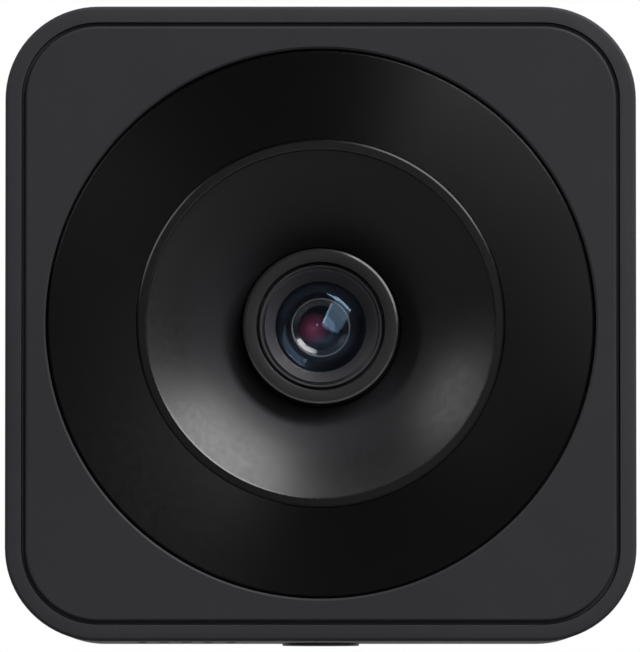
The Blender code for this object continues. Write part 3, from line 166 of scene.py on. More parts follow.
# Lens barrel
BARREL_FRONT = local_depth("lens_barrel", 0)
BARREL_BACK = local_depth("lens_barrel", 1)
BARREL_RADIUS = 7.65
BARREL_FOOT = 7.9
BARREL_CHAMFER = (0.2, 0.07)
BARREL_SOFT = (0.08, 0.05, 0.02)
BARREL_EDGE_SKIN = 0.005
BARREL_EDGE_BACK = 0.1
BARREL_EDGE_FOOT = (0.02, 0.3)
MOUTH_RADIUS = 6.35
MOUTH_FLOOR = BARREL_FRONT + 2.5
THREAD_RADIUS = 5.9
THREAD_FRONT = BARREL_BACK - 3.3
EXIT_RADIUS = 3.0
EXIT_FRONT = BARREL_BACK - 1.3
REAR_BORE = 4.5
FRONT_BORE = 5.2
FRONT_BORE_BACK = MOUTH_FLOOR + 2.3

# Retainer: an inward cone, a groove and a rim
RETAINER_FRONT = BARREL_FRONT + 0.5
RETAINER_BACK = MOUTH_FLOOR - 0.3
RETAINER_RADIUS = 6.05
CONE_BORE = 4.5
CONE_DEPTH = 1.1
CONE_RADIUS = 5.55
CONE_SOFT = 0.06
GROOVE_RADIUS = 5.85
GROOVE_DEPTH = 0.4
GROOVE_SOFT = 0.05

# Glass and stop: radii, and how far each bulges, sinks or lies back
GLASS_RADIUS = 4.9
GLASS_EDGE = 1.1
GLASS_SHARP = 25
DOME_RADIUS = 4.2
DOME_RISE = 1.3
HOLLOW_RADIUS = 3.2
HOLLOW_DEPTH = 0.8
STOP_FRONT = MOUTH_FLOOR + 1.4
STOP_BACK = STOP_FRONT + 0.6
STOP_RADII = (2.72, 4.9)
STOP_FALL = 0.3
STOP_BEVEL_RADII = (2.05, 2.5, 2.55)
STOP_BEVEL_DEPTHS = (0.37, 0.07)
STOP_RIM_RADII = (2.57, 2.70)
STOP_RIM_RISE = 0.06
STOP_RIM_SOFT = 0.06
REAR_GLASS_BACK = BARREL_BACK - 1.6
REAR_GLASS_FRONT = REAR_GLASS_BACK - 3.0
REAR_GLASS_RADIUS = 4.2
REAR_BULGE_RADIUS = 3.0
REAR_BULGE_SPHERE = 5.0

# Rear cover and display window
COVER_FRONT = CASE_BACK + 0.3
COVER_BACK = local_depth("display_window", 1)
COVER_INNER = COVER_BACK - 2.0
COVER_EDGE = 2.2
COVER_LIP_INSET = 1.9
COVER_LIP = (CASE_BACK - 2.0, COVER_FRONT + 0.8)
COVER_HOLLOW_INSET = 3.1
COVER_HOLLOW_FRONT = CASE_BACK - 3.0
WINDOW_SIZE = (54.0, 40.0)
WINDOW_Z = 2.5
WINDOW_CORNER = 3.0
WINDOW_FRONT = COVER_BACK - 0.9
WINDOW_EDGE = 0.18
WINDOW_SEAT = COVER_BACK - 1.2
DISPLAY_OPENING = (48.0, 34.0)
DISPLAY_CORNER = 1.5
DISPLAY_SIZE = (47.0, 33.0)
LIGHT_Z = -19.4
LIGHT_HOLE = 1.0

# Keys and their signs
KEY_Z = -23.6
KEY_SIZE = (8.6, 4.4)
KEY_CORNER = 1.4
KEY_EDGE = 0.25
KEY_FRONT = local_depth("power_key", 0)
KEY_BACK = COVER_BACK + 0.4
KEY_FLANGE = (7.2, 6.6)
KEY_FLANGE_THICKNESS = 0.7
KEY_FLANGE_CORNER = 0.3
KEY_NAMES = ("power_key", "menu_key", "up_key", "down_key")
KEY_PLACES = [(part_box(name)[0].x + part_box(name)[1].x) / 2 / MM for name in KEY_NAMES]
MARK_DEPTHS = (KEY_BACK - 0.05, KEY_BACK + 0.02)
POWER_STROKE = (0.22, 0.9)
POWER_STROKE_CORNER = 0.08
POWER_STROKE_RISE = 0.55
POWER_ARC_RADII = (0.72, 0.94)
POWER_ARC_TURN = (125, 290)
POWER_ARC_STEPS = 24
MENU_STROKE = (1.8, 0.24)
MENU_STROKE_CORNER = 0.1
MENU_ROWS = (-0.6, 0.0, 0.6)
ARROW_CORNERS = ((-0.95, -0.55), (0.95, -0.55), (0.0, 0.85))

# Button under the case: stem, collar, cap and the dish in its face
BUTTON_STEM = (1.5, 1.0)
BUTTON_COLLAR = (4.75, 1.8)
BUTTON_CAP_RADIUS = 3.85
BUTTON_EDGE = 0.15
BUTTON_DISH_RADII = (3.2, 2.9)
BUTTON_DISH_DEPTHS = (0.12, 0.18)

# Screws: radii of head and shank, height of the head, length, and the two sides and depth of the cross
SCREW_PLACES = [(x, z) for x in (-25.2, 25.2) for z in (-25.4, 25.4)]
SCREW_NAMES = ("lower_left", "upper_left", "lower_right", "upper_right")
SCREW_WELL = (1.9, 2.2)
SCREW_EDGE = 0.08
CASE_SCREW = (1.6, 0.8, 1.2, 15.2)
CASE_SCREW_CROSS = (1.7, 0.42, 1.2)
PLATE_SCREW = (1.5, 0.7, 0.7, 2.6)
PLATE_SCREW_CROSS = (1.5, 0.38, 0.9)
PLATE_SCREW_X = 9.0


# Forms

X_AXIS = 0
Z_AXIS = 2


def rounded_slab(width, height, front, back, radius, x=0.0, z=0.0, corner_steps=20, edges=()):
    """A plate facing the front, with round corners, and with its edges rounded at the depths given.

    edges holds (depth, radius, steps) for each end that is rounded.
    """
    form = bmesh.new()
    bmesh.ops.create_cube(form, size=1.0)
    bmesh.ops.scale(form, vec=(width, back - front, height), verts=form.verts)
    bmesh.ops.translate(form, vec=(x, (front + back) / 2, z), verts=form.verts)
    uprights = [e for e in form.edges if abs(e.verts[0].co.y - e.verts[1].co.y) > (back - front) / 2]
    bmesh.ops.bevel(
        form, geom=uprights, offset=radius, segments=corner_steps, profile=0.5, affect="EDGES"
    )
    for depth, size, steps in edges:
        ring = [e for e in form.edges if all(abs(v.co.y - depth) < 1e-4 for v in e.verts)]
        bmesh.ops.bevel(form, geom=ring, offset=size, segments=steps, profile=0.5, affect="EDGES")
    return form


def case_slab(inset, front, back, edges=()):
    """A plate with the outline of the case, or one that lies inside it by an inset."""
    width = CASE_WIDTH - 2 * inset
    height = CASE_HEIGHT - 2 * inset
    return rounded_slab(width, height, front, back, CASE_CORNER - inset, edges=edges)


def box_form(centre, size, along=None, radius=0.0, steps=6):
    """A box whose edges along one axis (0, 1 or 2) are rounded."""
    form = bmesh.new()
    bmesh.ops.create_cube(form, size=1.0)
    bmesh.ops.scale(form, vec=size, verts=form.verts)
    if along is not None:
        half = size[along] / 2
        chosen = [e for e in form.edges if abs(e.verts[0].co[along] - e.verts[1].co[along]) > half]
        bmesh.ops.bevel(form, geom=chosen, offset=radius, segments=steps, profile=0.5, affect="EDGES")
    bmesh.ops.translate(form, vec=centre, verts=form.verts)
    return form


def rod_form(radius, start, end, steps=48):
    start = Vector(start)
    span = Vector(end) - start
    form = bmesh.new()
    bmesh.ops.create_cone(
        form, cap_ends=True, segments=steps, radius1=radius, radius2=radius, depth=span.length
    )
    turn = Vector((0, 0, 1)).rotation_difference(span).to_matrix().to_4x4()
    bmesh.ops.transform(form, matrix=Matrix.Translation(start + span / 2) @ turn, verts=form.verts)
    return form


def softened(corners, steps=4):
    """A profile of points (r, y) whose corners (r, y, radius) are rounded."""
    points = []
    count = len(corners)
    for index, (r, y, radius) in enumerate(corners):
        here = Vector((r, y))
        if radius <= 0:
            points.append(here)
            continue
        before = (Vector(corners[index - 1][:2]) - here).normalized()
        after = (Vector(corners[(index + 1) % count][:2]) - here).normalized()
        start = here + before * radius
        end = here + after * radius
        for step in range(steps + 1):
            t = step / steps
            points.append(start * (1 - t) ** 2 + here * 2 * t * (1 - t) + end * t**2)
    return points


def turned_form(profile, steps=192, axis=(0.0, 0.0), upright=False):
    """A closed profile of points (r, y) turned about the lens axis, or (r, z) about an upright one.

    axis is the place of the axis: (x, z) for one along the lens axis, or (x, y) for an upright one. A point
    with r = 0 is a pole.
    """
    form = bmesh.new()
    rings = []
    for r, along in profile:
        count = 1 if r < 1e-6 else steps
        ring = []
        for index in range(count):
            angle = 2 * math.pi * index / steps
            a = axis[0] + r * math.cos(angle)
            b = axis[1] + r * math.sin(angle)
            ring.append(form.verts.new((a, b, along) if upright else (a, along, b)))
        rings.append(ring)
    for first, second in zip(rings, rings[1:] + rings[:1]):
        if len(first) == 1 and len(second) == 1:
            continue
        for index in range(steps):
            after = (index + 1) % steps
            corners = [first[index % len(first)], first[after % len(first)]]
            corners += [second[after % len(second)], second[index % len(second)]]
            unique = list(dict.fromkeys(corners))
            form.faces.new(unique)
    bmesh.ops.recalc_face_normals(form, faces=form.faces)
    return form


def cap_sphere(radius, rise):
    """Radius of the sphere whose cap has this radius and rise."""
    return (radius**2 + rise**2) / (2 * rise)


def bulge_arc(sphere, apex, start_r, end_r, count):
    """Points (r, y) on a sphere that bulges towards the front, up to an apex depth."""
    first = math.asin(start_r / sphere)
    last = math.asin(end_r / sphere)
    angles = [first + (last - first) * step / (count - 1) for step in range(count)]
    return [(sphere * math.sin(a), apex + sphere - sphere * math.cos(a)) for a in angles]


def flared_arc(start, end, bulge, count):
    """Points (r, y) on the arc of a funnel's wall, which bulges into the funnel."""
    start = Vector(start)
    end = Vector(end)
    half = (end - start) / 2
    along = half.normalized()
    inward = Vector((along.y, -along.x))
    radius = (half.length_squared + bulge**2) / (2 * bulge)
    centre = start + half - inward * (radius - bulge)
    half_turn = math.asin(half.length / radius)
    turns = [half_turn * (2 * step / (count - 1) - 1) for step in range(count)]
    return [centre + radius * (inward * math.cos(turn) + along * math.sin(turn)) for turn in turns]


# Pieces

SHARP_ANGLE = 35
BEVEL_ANGLE = 50
BEVEL_STEPS = 2


def mesh_from(form, name):
    bmesh.ops.scale(form, vec=(MM, MM, MM), verts=form.verts)
    bmesh.ops.translate(form, vec=PLACE, verts=form.verts)
    mesh = bpy.data.meshes.new(name)
    form.to_mesh(mesh)
    form.free()
    return mesh


def combined(obj, joins, cuts):
    """The mesh of an object after other forms are joined to it and then cut from it."""
    helpers = []
    for operation, forms in (("UNION", joins), ("DIFFERENCE", cuts)):
        for index, other in enumerate(forms):
            helper = bpy.data.objects.new(f"{obj.name}_helper", mesh_from(other, f"{obj.name}_helper"))
            bpy.context.scene.collection.objects.link(helper)
            helpers.append(helper)
            step = obj.modifiers.new(f"{operation.lower()}_{index}", "BOOLEAN")
            step.operation = operation
            step.solver = "EXACT"
            step.object = helper
    graph = bpy.context.evaluated_depsgraph_get()
    mesh = bpy.data.meshes.new_from_object(obj.evaluated_get(graph))
    obj.modifiers.clear()
    for helper in helpers:
        bpy.data.objects.remove(helper)
    return mesh


def piece(
    name,
    form,
    material,
    nodes=(),
    body="housing",
    sharp=SHARP_ANGLE,
    cuts=(),
    joins=(),
    bevel=0.0,
    flat=False,
):
    """A finished piece that rides on a body and stands for the nodes named.

    Edges sharper than an angle in degrees stay sharp. A bevel breaks them, and flat keeps large faces flat.
    """
    obj = bpy.data.objects.new(name, mesh_from(form, name))
    bpy.context.scene.collection.objects.link(obj)
    if joins or cuts:
        obj.data = combined(obj, joins, cuts)
    obj.data.shade_smooth()
    obj.data.set_sharp_from_angle(angle=math.radians(sharp))
    if bevel:
        edge = obj.modifiers.new("edge", "BEVEL")
        edge.width = bevel * MM
        edge.segments = BEVEL_STEPS
        edge.limit_method = "ANGLE"
        edge.angle_limit = math.radians(BEVEL_ANGLE)
        edge.harden_normals = True
    if flat:
        obj.modifiers.new("flat", "WEIGHTED_NORMAL").keep_sharp = True
    obj.data.materials.clear()
    obj.data.materials.append(material)
    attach(obj, body)
    if nodes:
        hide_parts(*nodes)


# Finishes

BLUE_COATING = (0.39, 0.66, 1.0, 1.0)
FRONT_COATING = (0.42, 0.70, 1.0, 1.0)
VIOLET_SHEEN = (0.8, 0.75, 1.0, 1.0)

# The middle part of a noise, which is spread over the range of a finish
NOISE_LOW = 0.3
NOISE_HIGH = 0.7

SOCKETS = {
    "roughness": "Roughness",
    "metallic": "Metallic",
    "ior": "IOR",
    "specular": "Specular IOR Level",
    "specular_tint": "Specular Tint",
    "transmission": "Transmission Weight",
    "anisotropic": "Anisotropic",
    "anisotropic_rotation": "Anisotropic Rotation",
}


class Finish:
    """A procedural material under construction: one Principled shader and short ways to feed it."""

    def __init__(self, name, **constants):
        self.material = bpy.data.materials.new(name)
        self.material.use_nodes = True
        self.tree = self.material.node_tree
        self.shader = self.tree.nodes["Principled BSDF"]
        for socket, value in constants.items():
            self.shader.inputs[SOCKETS[socket]].default_value = value

    def node(self, kind, **settings):
        made = self.tree.nodes.new(kind)
        for key, value in settings.items():
            setattr(made, key, value)
        return made

    def link(self, source, target):
        self.tree.links.new(source, target)

    def position(self):
        return self.node("ShaderNodeTexCoord").outputs["Object"]

    def noise(self, scale, detail=3.0, roughness=0.5, stretch=None):
        """Noise with the scale in cycles a millimetre."""
        texture = self.node("ShaderNodeTexNoise")
        texture.inputs["Scale"].default_value = scale / MM
        texture.inputs["Detail"].default_value = detail
        texture.inputs["Roughness"].default_value = roughness
        source = self.position()
        if stretch:
            mapping = self.node("ShaderNodeMapping")
            mapping.inputs["Scale"].default_value = stretch
            self.link(source, mapping.inputs["Vector"])
            source = mapping.outputs["Vector"]
        self.link(source, texture.inputs["Vector"])
        return texture.outputs["Fac"]

    def distance(self, place, reach):
        """Rises from zero at a place, in millimetres, to one at a reach from it."""
        gap = self.node("ShaderNodeVectorMath", operation="DISTANCE")
        gap.inputs[1].default_value = PLACE + Vector(place) * MM
        self.link(self.position(), gap.inputs[0])
        return self.spread(gap.outputs["Value"], 0.0, 1.0, 0.0, reach * MM)

    def spread(self, factor, low, high, start=NOISE_LOW, end=NOISE_HIGH):
        """A factor mapped to a range of numbers."""
        ranged = self.node("ShaderNodeMapRange")
        ranged.inputs["From Min"].default_value = start
        ranged.inputs["From Max"].default_value = end
        ranged.inputs["To Min"].default_value = low
        ranged.inputs["To Max"].default_value = high
        self.link(factor, ranged.inputs["Value"])
        return ranged.outputs["Result"]

    def colour(self, factor, *stops):
        """Feeds the colour from a ramp of (position, colour) stops."""
        ramp = self.node("ShaderNodeValToRGB")
        elements = ramp.color_ramp.elements
        while len(elements) < len(stops):
            elements.new(1.0)
        for element, (place, value) in zip(elements, stops):
            element.position = place
            element.color = (*value, 1.0)
        self.link(factor, ramp.inputs["Fac"])
        self.link(ramp.outputs["Color"], self.shader.inputs["Base Color"])

    def mottle(self, factor, dark, light):
        """Feeds the colour from the middle of a noise."""
        self.colour(factor, (NOISE_LOW, dark), (NOISE_HIGH, light))

    def rough(self, factor, low, high):
        self.link(self.spread(factor, low, high), self.shader.inputs["Roughness"])

    def bump(self, height, depth):
        """Relief of a depth in millimetres."""
        relief = self.node("ShaderNodeBump")
        relief.inputs["Distance"].default_value = depth * MM
        relief.inputs["Strength"].default_value = 1.0
        self.link(height, relief.inputs["Height"])
        self.link(relief.outputs["Normal"], self.shader.inputs["Normal"])


def moulded(name, dark, light, rough, grain=6.0, depth=0.006, **constants):
    """Moulded plastic with a fine spark-eroded grain and slight unevenness of tone and gloss."""
    finish = Finish(name, **constants)
    finish.mottle(finish.noise(0.05, 4.0, 0.6), dark, light)
    finish.rough(finish.noise(1.5, 2.0), *rough)
    finish.bump(finish.noise(grain, 3.0, 0.6), depth)
    return finish.material


def metal(name, dark, light, rough, stretch=None, scale=3.0, depth=0.002):
    """Metal with brushed or cast unevenness."""
    finish = Finish(name, metallic=1.0)
    streaks = finish.noise(scale, 4.0, 0.6, stretch)
    finish.mottle(streaks, dark, light)
    finish.rough(streaks, *rough)
    finish.bump(streaks, depth)
    return finish.material


def turned(name, dark, light, rough, **constants):
    """Black plastic turned on a lathe: grooves round the lens axis stretch the highlights across them."""
    finish = Finish(name, anisotropic=0.9, anisotropic_rotation=0.25, **constants)
    finish.mottle(finish.noise(0.08, 3.0), dark, light)
    finish.rough(finish.noise(1.2, 2.0), *rough)
    tangent = finish.node("ShaderNodeTangent", direction_type="RADIAL", axis="Y")
    finish.link(tangent.outputs["Tangent"], finish.shader.inputs["Tangent"])
    return finish.material


def grey(value, violet=0.0):
    """A grey, or one that leans to violet by a share of its blue."""
    return (value, value * (1 - violet / 5), value * (1 + violet))


def bowl_finish():
    """Satin black plastic, paler towards the foot of the bowl: painted light that stands in for bounce
    light in the deep zone.
    """
    finish = Finish("bowl_plastic_look")
    # Painted light: the base colour is paler near the bowl's floor and darkens outwards towards the rim.
    outward = finish.distance((0.0, BOWL_FLOOR, 0.0), BOWL_RIM)
    finish.colour(outward, (0.47, grey(0.040, 0.10)), (0.90, grey(0.0115, 0.10)))
    finish.rough(finish.noise(1.5, 2.0), 0.36, 0.42)
    finish.bump(finish.noise(2.5, 3.0, 0.6), 0.005)
    return finish.material


def window_finish():
    """Black glass, with the grey of the display showing inside its printed border."""
    finish = Finish("window_look")
    across = finish.node("ShaderNodeVectorMath", operation="SUBTRACT")
    across.inputs[1].default_value = PLACE + Vector((0.0, COVER_BACK, WINDOW_Z)) * MM
    finish.link(finish.position(), across.inputs[0])
    share = finish.node("ShaderNodeVectorMath", operation="DIVIDE")
    share.inputs[1].default_value = (DISPLAY_SIZE[0] / 2 * MM, 1.0, DISPLAY_SIZE[1] / 2 * MM)
    finish.link(across.outputs["Vector"], share.inputs[0])
    folded = finish.node("ShaderNodeVectorMath", operation="ABSOLUTE")
    finish.link(share.outputs["Vector"], folded.inputs[0])
    split = finish.node("ShaderNodeSeparateXYZ")
    finish.link(folded.outputs["Vector"], split.inputs["Vector"])
    outward = finish.node("ShaderNodeMath", operation="MAXIMUM")
    finish.link(split.outputs["X"], outward.inputs[0])
    finish.link(split.outputs["Z"], outward.inputs[1])
    finish.colour(outward.outputs["Value"], (0.985, grey(0.026, 0.15)), (1.0, grey(0.004, 0.2)))
    finish.rough(finish.noise(2.0), 0.04, 0.06)
    return finish.material


def front_glass_finish():
    """Clear glass with a blue anti-reflection coating."""
    finish = Finish(
        "front_glass_look", roughness=0.0, ior=1.5, transmission=1.0, specular_tint=FRONT_COATING
    )
    finish.mottle(finish.noise(0.3), (0.93, 0.95, 1.0), (0.97, 0.98, 1.0))
    return finish.material


def rear_glass_finish():
    """A coated inner element, near black, with a painted wine-red glow left of its middle that stands in
    for reflections in its coating; a blue cast in its real reflections.
    """
    finish = Finish("rear_glass_look", roughness=0.06, ior=1.8, specular_tint=BLUE_COATING)
    # Painted reflection: a pale wine-red patch left of the middle, fading to near black towards the rim.
    painted_glow = finish.distance((-0.8, local_depth("rear_lens", 0), 0.0), 2.0)
    finish.colour(
        painted_glow, (0.0, (0.60, 0.14, 0.28)), (0.35, (0.34, 0.05, 0.13)), (0.8, (0.03, 0.008, 0.018))
    )
    return finish.material


def make_finishes():
    """The finishes by name: first those of the slots in the record, then those of the scene alone."""
    return {
        "case_plastic": moulded(
            "case_plastic_look", grey(0.033, 0.13), grey(0.039, 0.13), (0.54, 0.62), specular=0.2
        ),
        "panel_plastic": moulded(
            "panel_plastic_look", grey(0.029, 0.13), grey(0.033, 0.13), (0.56, 0.62), specular=0.2
        ),
        "ring_plastic": turned(
            "turned_ring", grey(0.0008, 0.1), grey(0.0014, 0.1), (0.23, 0.27), specular=0.3
        ),
        "bowl_plastic": bowl_finish(),
        "barrel_metal": moulded(
            "barrel_look", grey(0.015, 0.10), grey(0.018, 0.10), (0.28, 0.34), 10.0, 0.002
        ),
        "inner_black": moulded("inner_black_look", grey(0.006), grey(0.010), (0.5, 0.6)),
        "foam_rubber": moulded("foam_look", grey(0.010), grey(0.018), (0.8, 0.95), 3.0, 0.05),
        "circuit_board": moulded(
            "circuit_board_look", (0.006, 0.060, 0.028), (0.012, 0.100, 0.050), (0.35, 0.5), 2.0, 0.01
        ),
        "chip_black": moulded("chip_look", grey(0.014), grey(0.020), (0.35, 0.45), 5.0, 0.004),
        "aluminium": metal("aluminium_look", grey(0.52), grey(0.62), (0.30, 0.42)),
        "capacitor_sleeve": moulded(
            "capacitor_look", (0.012, 0.020, 0.050), (0.020, 0.030, 0.070), (0.25, 0.35)
        ),
        "steel": metal("steel_look", grey(0.42), grey(0.50), (0.24, 0.34), (0.05, 1.0, 1.0), 8.0),
        "card_plastic": moulded("card_look", grey(0.020), grey(0.028), (0.4, 0.5)),
        "display_grey": moulded("display_look", grey(0.020, 0.2), grey(0.026, 0.2), (0.2, 0.25)),
        "ribbon_film": moulded("ribbon_look", (0.35, 0.16, 0.03), (0.45, 0.22, 0.05), (0.3, 0.4)),
        "key_plastic": moulded("key_look", grey(0.024, 0.08), grey(0.029, 0.08), (0.46, 0.54)),
        "light_pipe": moulded("light_pipe_look", grey(0.50), grey(0.60), (0.15, 0.22)),
        "screw_black": metal("screw_look", grey(0.05), grey(0.07), (0.30, 0.40)),
        "window_black": window_finish(),
        "filter_glass": moulded("filter_look", (0.20, 0.36, 0.40), (0.26, 0.42, 0.46), (0.04, 0.06)),
        "lens_glass": rear_glass_finish(),
        "front_glass": front_glass_finish(),
        "retainer": moulded(
            "retainer_look", grey(0.042, 0.15), grey(0.050, 0.15), (0.46, 0.52), 10.0, 0.002
        ),
        "stop": turned(
            "turned_stop",
            (0.008, 0.007, 0.012),
            (0.011, 0.009, 0.016),
            (0.30, 0.36),
            specular=0.15,
            specular_tint=VIOLET_SHEEN,
        ),
        "lip": moulded(
            "lip_look", grey(0.006, 0.10), grey(0.008, 0.10), (0.50, 0.56), 8.0, 0.003, specular=0.18
        ),
        "bevel": metal("bevel_look", grey(0.08), grey(0.10), (0.17, 0.19), depth=0.0),
        "barrel_edge": metal("barrel_edge_look", grey(0.16), grey(0.22), (0.18, 0.22), depth=0.0),
        "cut_edge": metal("cut_edge_look", grey(0.030), grey(0.036), (0.26, 0.32), depth=0.0),
        "bowl_edge": metal("bowl_edge_look", grey(0.060), grey(0.072), (0.26, 0.32), depth=0.0),
        "stop_rim": metal("stop_rim_look", grey(0.40), grey(0.50), (0.36, 0.44)),
        "print": moulded("print_look", grey(0.42), grey(0.48), (0.5, 0.6), 8.0, 0.002),
    }


FINISHES = make_finishes()


def dress_nodes():
    """Gives each solid the finish of its slot in the record."""
    for part in frame["record"]["subparts"]:
        solid = NODES[part["node"]]
        solid.data.materials.clear()
        solid.data.materials.append(FINISHES[part["material_slot"]])


# Case and front panel


def row_places(middle, pitch):
    """Places along a row of slots."""
    return [middle + (index - (SLOT_COUNT - 1) / 2) * pitch for index in range(SLOT_COUNT)]


def bottom_hole(radius, x, steps):
    """A cutter for a round hole through the bottom of the case."""
    low, high = BOTTOM_CUT
    return rod_form(radius, (x, BUTTON_Y, low), (x, BUTTON_Y, high), steps)


def case_cuts():
    usb_y = middle_depth("usb_socket")
    card_y = middle_depth("memory_card")
    thumb_low = (THUMB_X, card_y, CARD_Z - THUMB_REACH)
    thumb_high = (THUMB_X, card_y, CARD_Z + THUMB_REACH)
    cuts = [
        case_slab(CASE_WALL, -THROUGH, BULKHEAD[0]),
        case_slab(CASE_WALL, BULKHEAD[1], CAVITY_CUT),
        rod_form(RECESS_RADIUS, (0, RECESS_CUT[0], 0), (0, RECESS_CUT[1], 0), 128),
        box_form((-HALF_WIDTH, usb_y, USB_Z), USB_OPENING, X_AXIS, USB_CORNER, 8),
        box_form((HALF_WIDTH, card_y, CARD_Z), CARD_SLOT),
        rod_form(THUMB_RADIUS, thumb_low, thumb_high),
        bottom_hole(BUTTON_HOLE, 0, 64),
        bottom_hole(MICROPHONE_HOLE, MICROPHONE_X, 24),
        box_form((0, PLATE_Y, HALF_HEIGHT), PLATE_POCKET, Z_AXIS, PLATE_CORNER, 6),
    ]
    speaker_row = row_places(SPEAKER_X, SPEAKER_PITCH)
    vent_row = row_places(VENT_Z, VENT_PITCH)
    for x, z in zip(speaker_row, vent_row):
        cuts.append(box_form((x, SPEAKER_Y, -HALF_HEIGHT), SPEAKER_SLOT, Z_AXIS, SPEAKER_CORNER, 5))
        for side in (-1, 1):
            cuts.append(box_form((side * HALF_WIDTH, VENT_Y, z), VENT_SLOT, X_AXIS, VENT_CORNER, 5))
    return cuts


def make_case():
    shell = case_slab(0.0, 0.0, CASE_BACK, edges=((0.0, CASE_EDGE, 4),))
    pad = box_form((0, PLATE_Y, PLATE_PAD_Z), PLATE_PAD)
    piece(
        "case_shell",
        shell,
        FINISHES["case_plastic"],
        ["case"],
        cuts=case_cuts(),
        joins=[pad],
        bevel=CASE_BEVEL,
    )


def make_screens():
    """Felt screens that keep dust out, stuck to the wall behind the side vents."""
    for name, side in (("left", -1), ("right", 1)):
        felt = box_form((side * SCREEN_X, VENT_Y, VENT_Z), SCREEN_SIZE, X_AXIS, SCREEN_CORNER, 4)
        piece("vent_screen_" + name, felt, FINISHES["foam_rubber"])


def make_panel():
    plate = case_slab(PANEL_INSET, 0.0, PANEL_BACK, edges=((0.0, PANEL_EDGE, 4),))
    flange = case_slab(FLANGE_INSET, FLANGE_FRONT, PANEL_BACK)
    mouth = PANEL_HOLE + PANEL_CHAMFER[0]
    hole = [
        (0, -THROUGH),
        (mouth, -THROUGH),
        (mouth, 0),
        (PANEL_HOLE, PANEL_CHAMFER[1]),
        (PANEL_HOLE, PANEL_CUT),
        (0, PANEL_CUT),
    ]
    piece(
        "face_panel",
        plate,
        FINISHES["panel_plastic"],
        ["front_panel"],
        cuts=[turned_form(hole, RING_STEPS)],
        joins=[flange],
        sharp=PANEL_SHARP,
        flat=True,
    )


# Lens recess


def recess_piece(name, profile, finish, nodes=()):
    piece(name, turned_form(profile, RING_STEPS), FINISHES[finish], nodes)


def make_ring():
    spigot = RECESS_RADIUS - SEAT_GAP
    crest = RING_RADIUS - RING_CHAMFER[0]
    crest_front = RING_FRONT + RING_FALL
    ring = softened(
        [
            (RING_BORE, RING_FRONT, RING_SOFT),
            (crest, crest_front, 0.0),
            (crest, PANEL_BACK, 0.0),
            (spigot, PANEL_BACK, 0.0),
            (spigot, BULKHEAD[1], 0.0),
            (RING_BORE, BULKHEAD[1], 0.0),
        ]
    )
    recess_piece("recess_ring", ring, "ring_plastic", ["trim_ring"])
    edge = [
        (crest, PANEL_BACK),
        (crest, crest_front),
        (RING_RADIUS, crest_front + RING_CHAMFER[1]),
        (RING_RADIUS, PANEL_BACK),
    ]
    recess_piece("ring_edge", edge, "cut_edge")


def make_bowl():
    lip_bore = BOWL_RIM + BOWL_CHAMFER[0]
    crest = LIP_RADIUS - LIP_CHAMFER[0]
    crest_front = LIP_TOP + LIP_FALL
    inner_edge = [
        (BOWL_RIM, LIP_DEPTH),
        (BOWL_RIM, LIP_TOP + BOWL_CHAMFER[1]),
        (lip_bore, LIP_TOP),
        (lip_bore, LIP_DEPTH),
    ]
    recess_piece("bowl_edge", inner_edge, "bowl_edge")
    lip = [(lip_bore, LIP_DEPTH), (lip_bore, LIP_TOP), (crest, crest_front), (crest, LIP_DEPTH)]
    recess_piece("bowl_lip", lip, "lip")
    outer_edge = [
        (crest, LIP_DEPTH),
        (crest, crest_front),
        (LIP_RADIUS, crest_front + LIP_CHAMFER[1]),
        (LIP_RADIUS, LIP_DEPTH),
    ]
    recess_piece("lip_edge", outer_edge, "cut_edge")
    bowl = flared_arc((BOWL_HOLE, BOWL_FLOOR), (BOWL_RIM, BOWL_FRONT), BOWL_FLARE, 60)
    bowl += [
        (BOWL_RIM, LIP_DEPTH),
        (LIP_RADIUS, LIP_DEPTH),
        (LIP_RADIUS, BOWL_SEAT[0]),
        (BOWL_SEAT_RADIUS, BOWL_SEAT[0]),
        (BOWL_SEAT_RADIUS, BOWL_SEAT[1]),
        (BOWL_SHELL_RADIUS, BOWL_SEAT[1]),
        (BOWL_NECK_RADIUS, BOWL_NECK[0]),
        (BOWL_NECK_RADIUS, BOWL_NECK[1]),
        (BOWL_HOLE, BOWL_NECK[1]),
    ]
    recess_piece("recess_bowl", bowl, "bowl_plastic", ["lens_bowl"])


# Lens


def lens_piece(name, profile, finish, nodes=(), sharp=SHARP_ANGLE):
    piece(name, turned_form(profile), FINISHES[finish], nodes, sharp=sharp)


def make_barrel():
    crest = BARREL_RADIUS - BARREL_CHAMFER[0]
    barrel = softened(
        [
            (MOUTH_RADIUS, MOUTH_FLOOR, 0.0),
            (MOUTH_RADIUS, BARREL_FRONT, BARREL_SOFT[0]),
            (crest, BARREL_FRONT, BARREL_SOFT[1]),
            (BARREL_RADIUS, BARREL_FRONT + BARREL_CHAMFER[1], BARREL_SOFT[2]),
            (BARREL_FOOT, BOWL_FLOOR, 0.0),
            (BARREL_FOOT, THREAD_FRONT, 0.0),
            (THREAD_RADIUS, THREAD_FRONT, 0.0),
            (THREAD_RADIUS, BARREL_BACK, 0.0),
            (EXIT_RADIUS, BARREL_BACK, 0.0),
            (EXIT_RADIUS, EXIT_FRONT, 0.0),
            (REAR_BORE, EXIT_FRONT, 0.0),
            (REAR_BORE, FRONT_BORE_BACK, 0.0),
            (FRONT_BORE, FRONT_BORE_BACK, 0.0),
            (FRONT_BORE, MOUTH_FLOOR, 0.0),
        ]
    )
    lens_piece("barrel_body", barrel, "barrel_metal", ["lens_barrel"])
    edge = [
        (crest, BARREL_FRONT + BARREL_EDGE_BACK),
        (crest, BARREL_FRONT - BARREL_EDGE_SKIN),
        (BARREL_RADIUS + BARREL_EDGE_SKIN, BARREL_FRONT + BARREL_CHAMFER[1] - BARREL_EDGE_SKIN),
        (BARREL_RADIUS - BARREL_EDGE_FOOT[0], BARREL_FRONT + BARREL_EDGE_FOOT[1]),
    ]
    lens_piece("barrel_edge", edge, "barrel_edge")


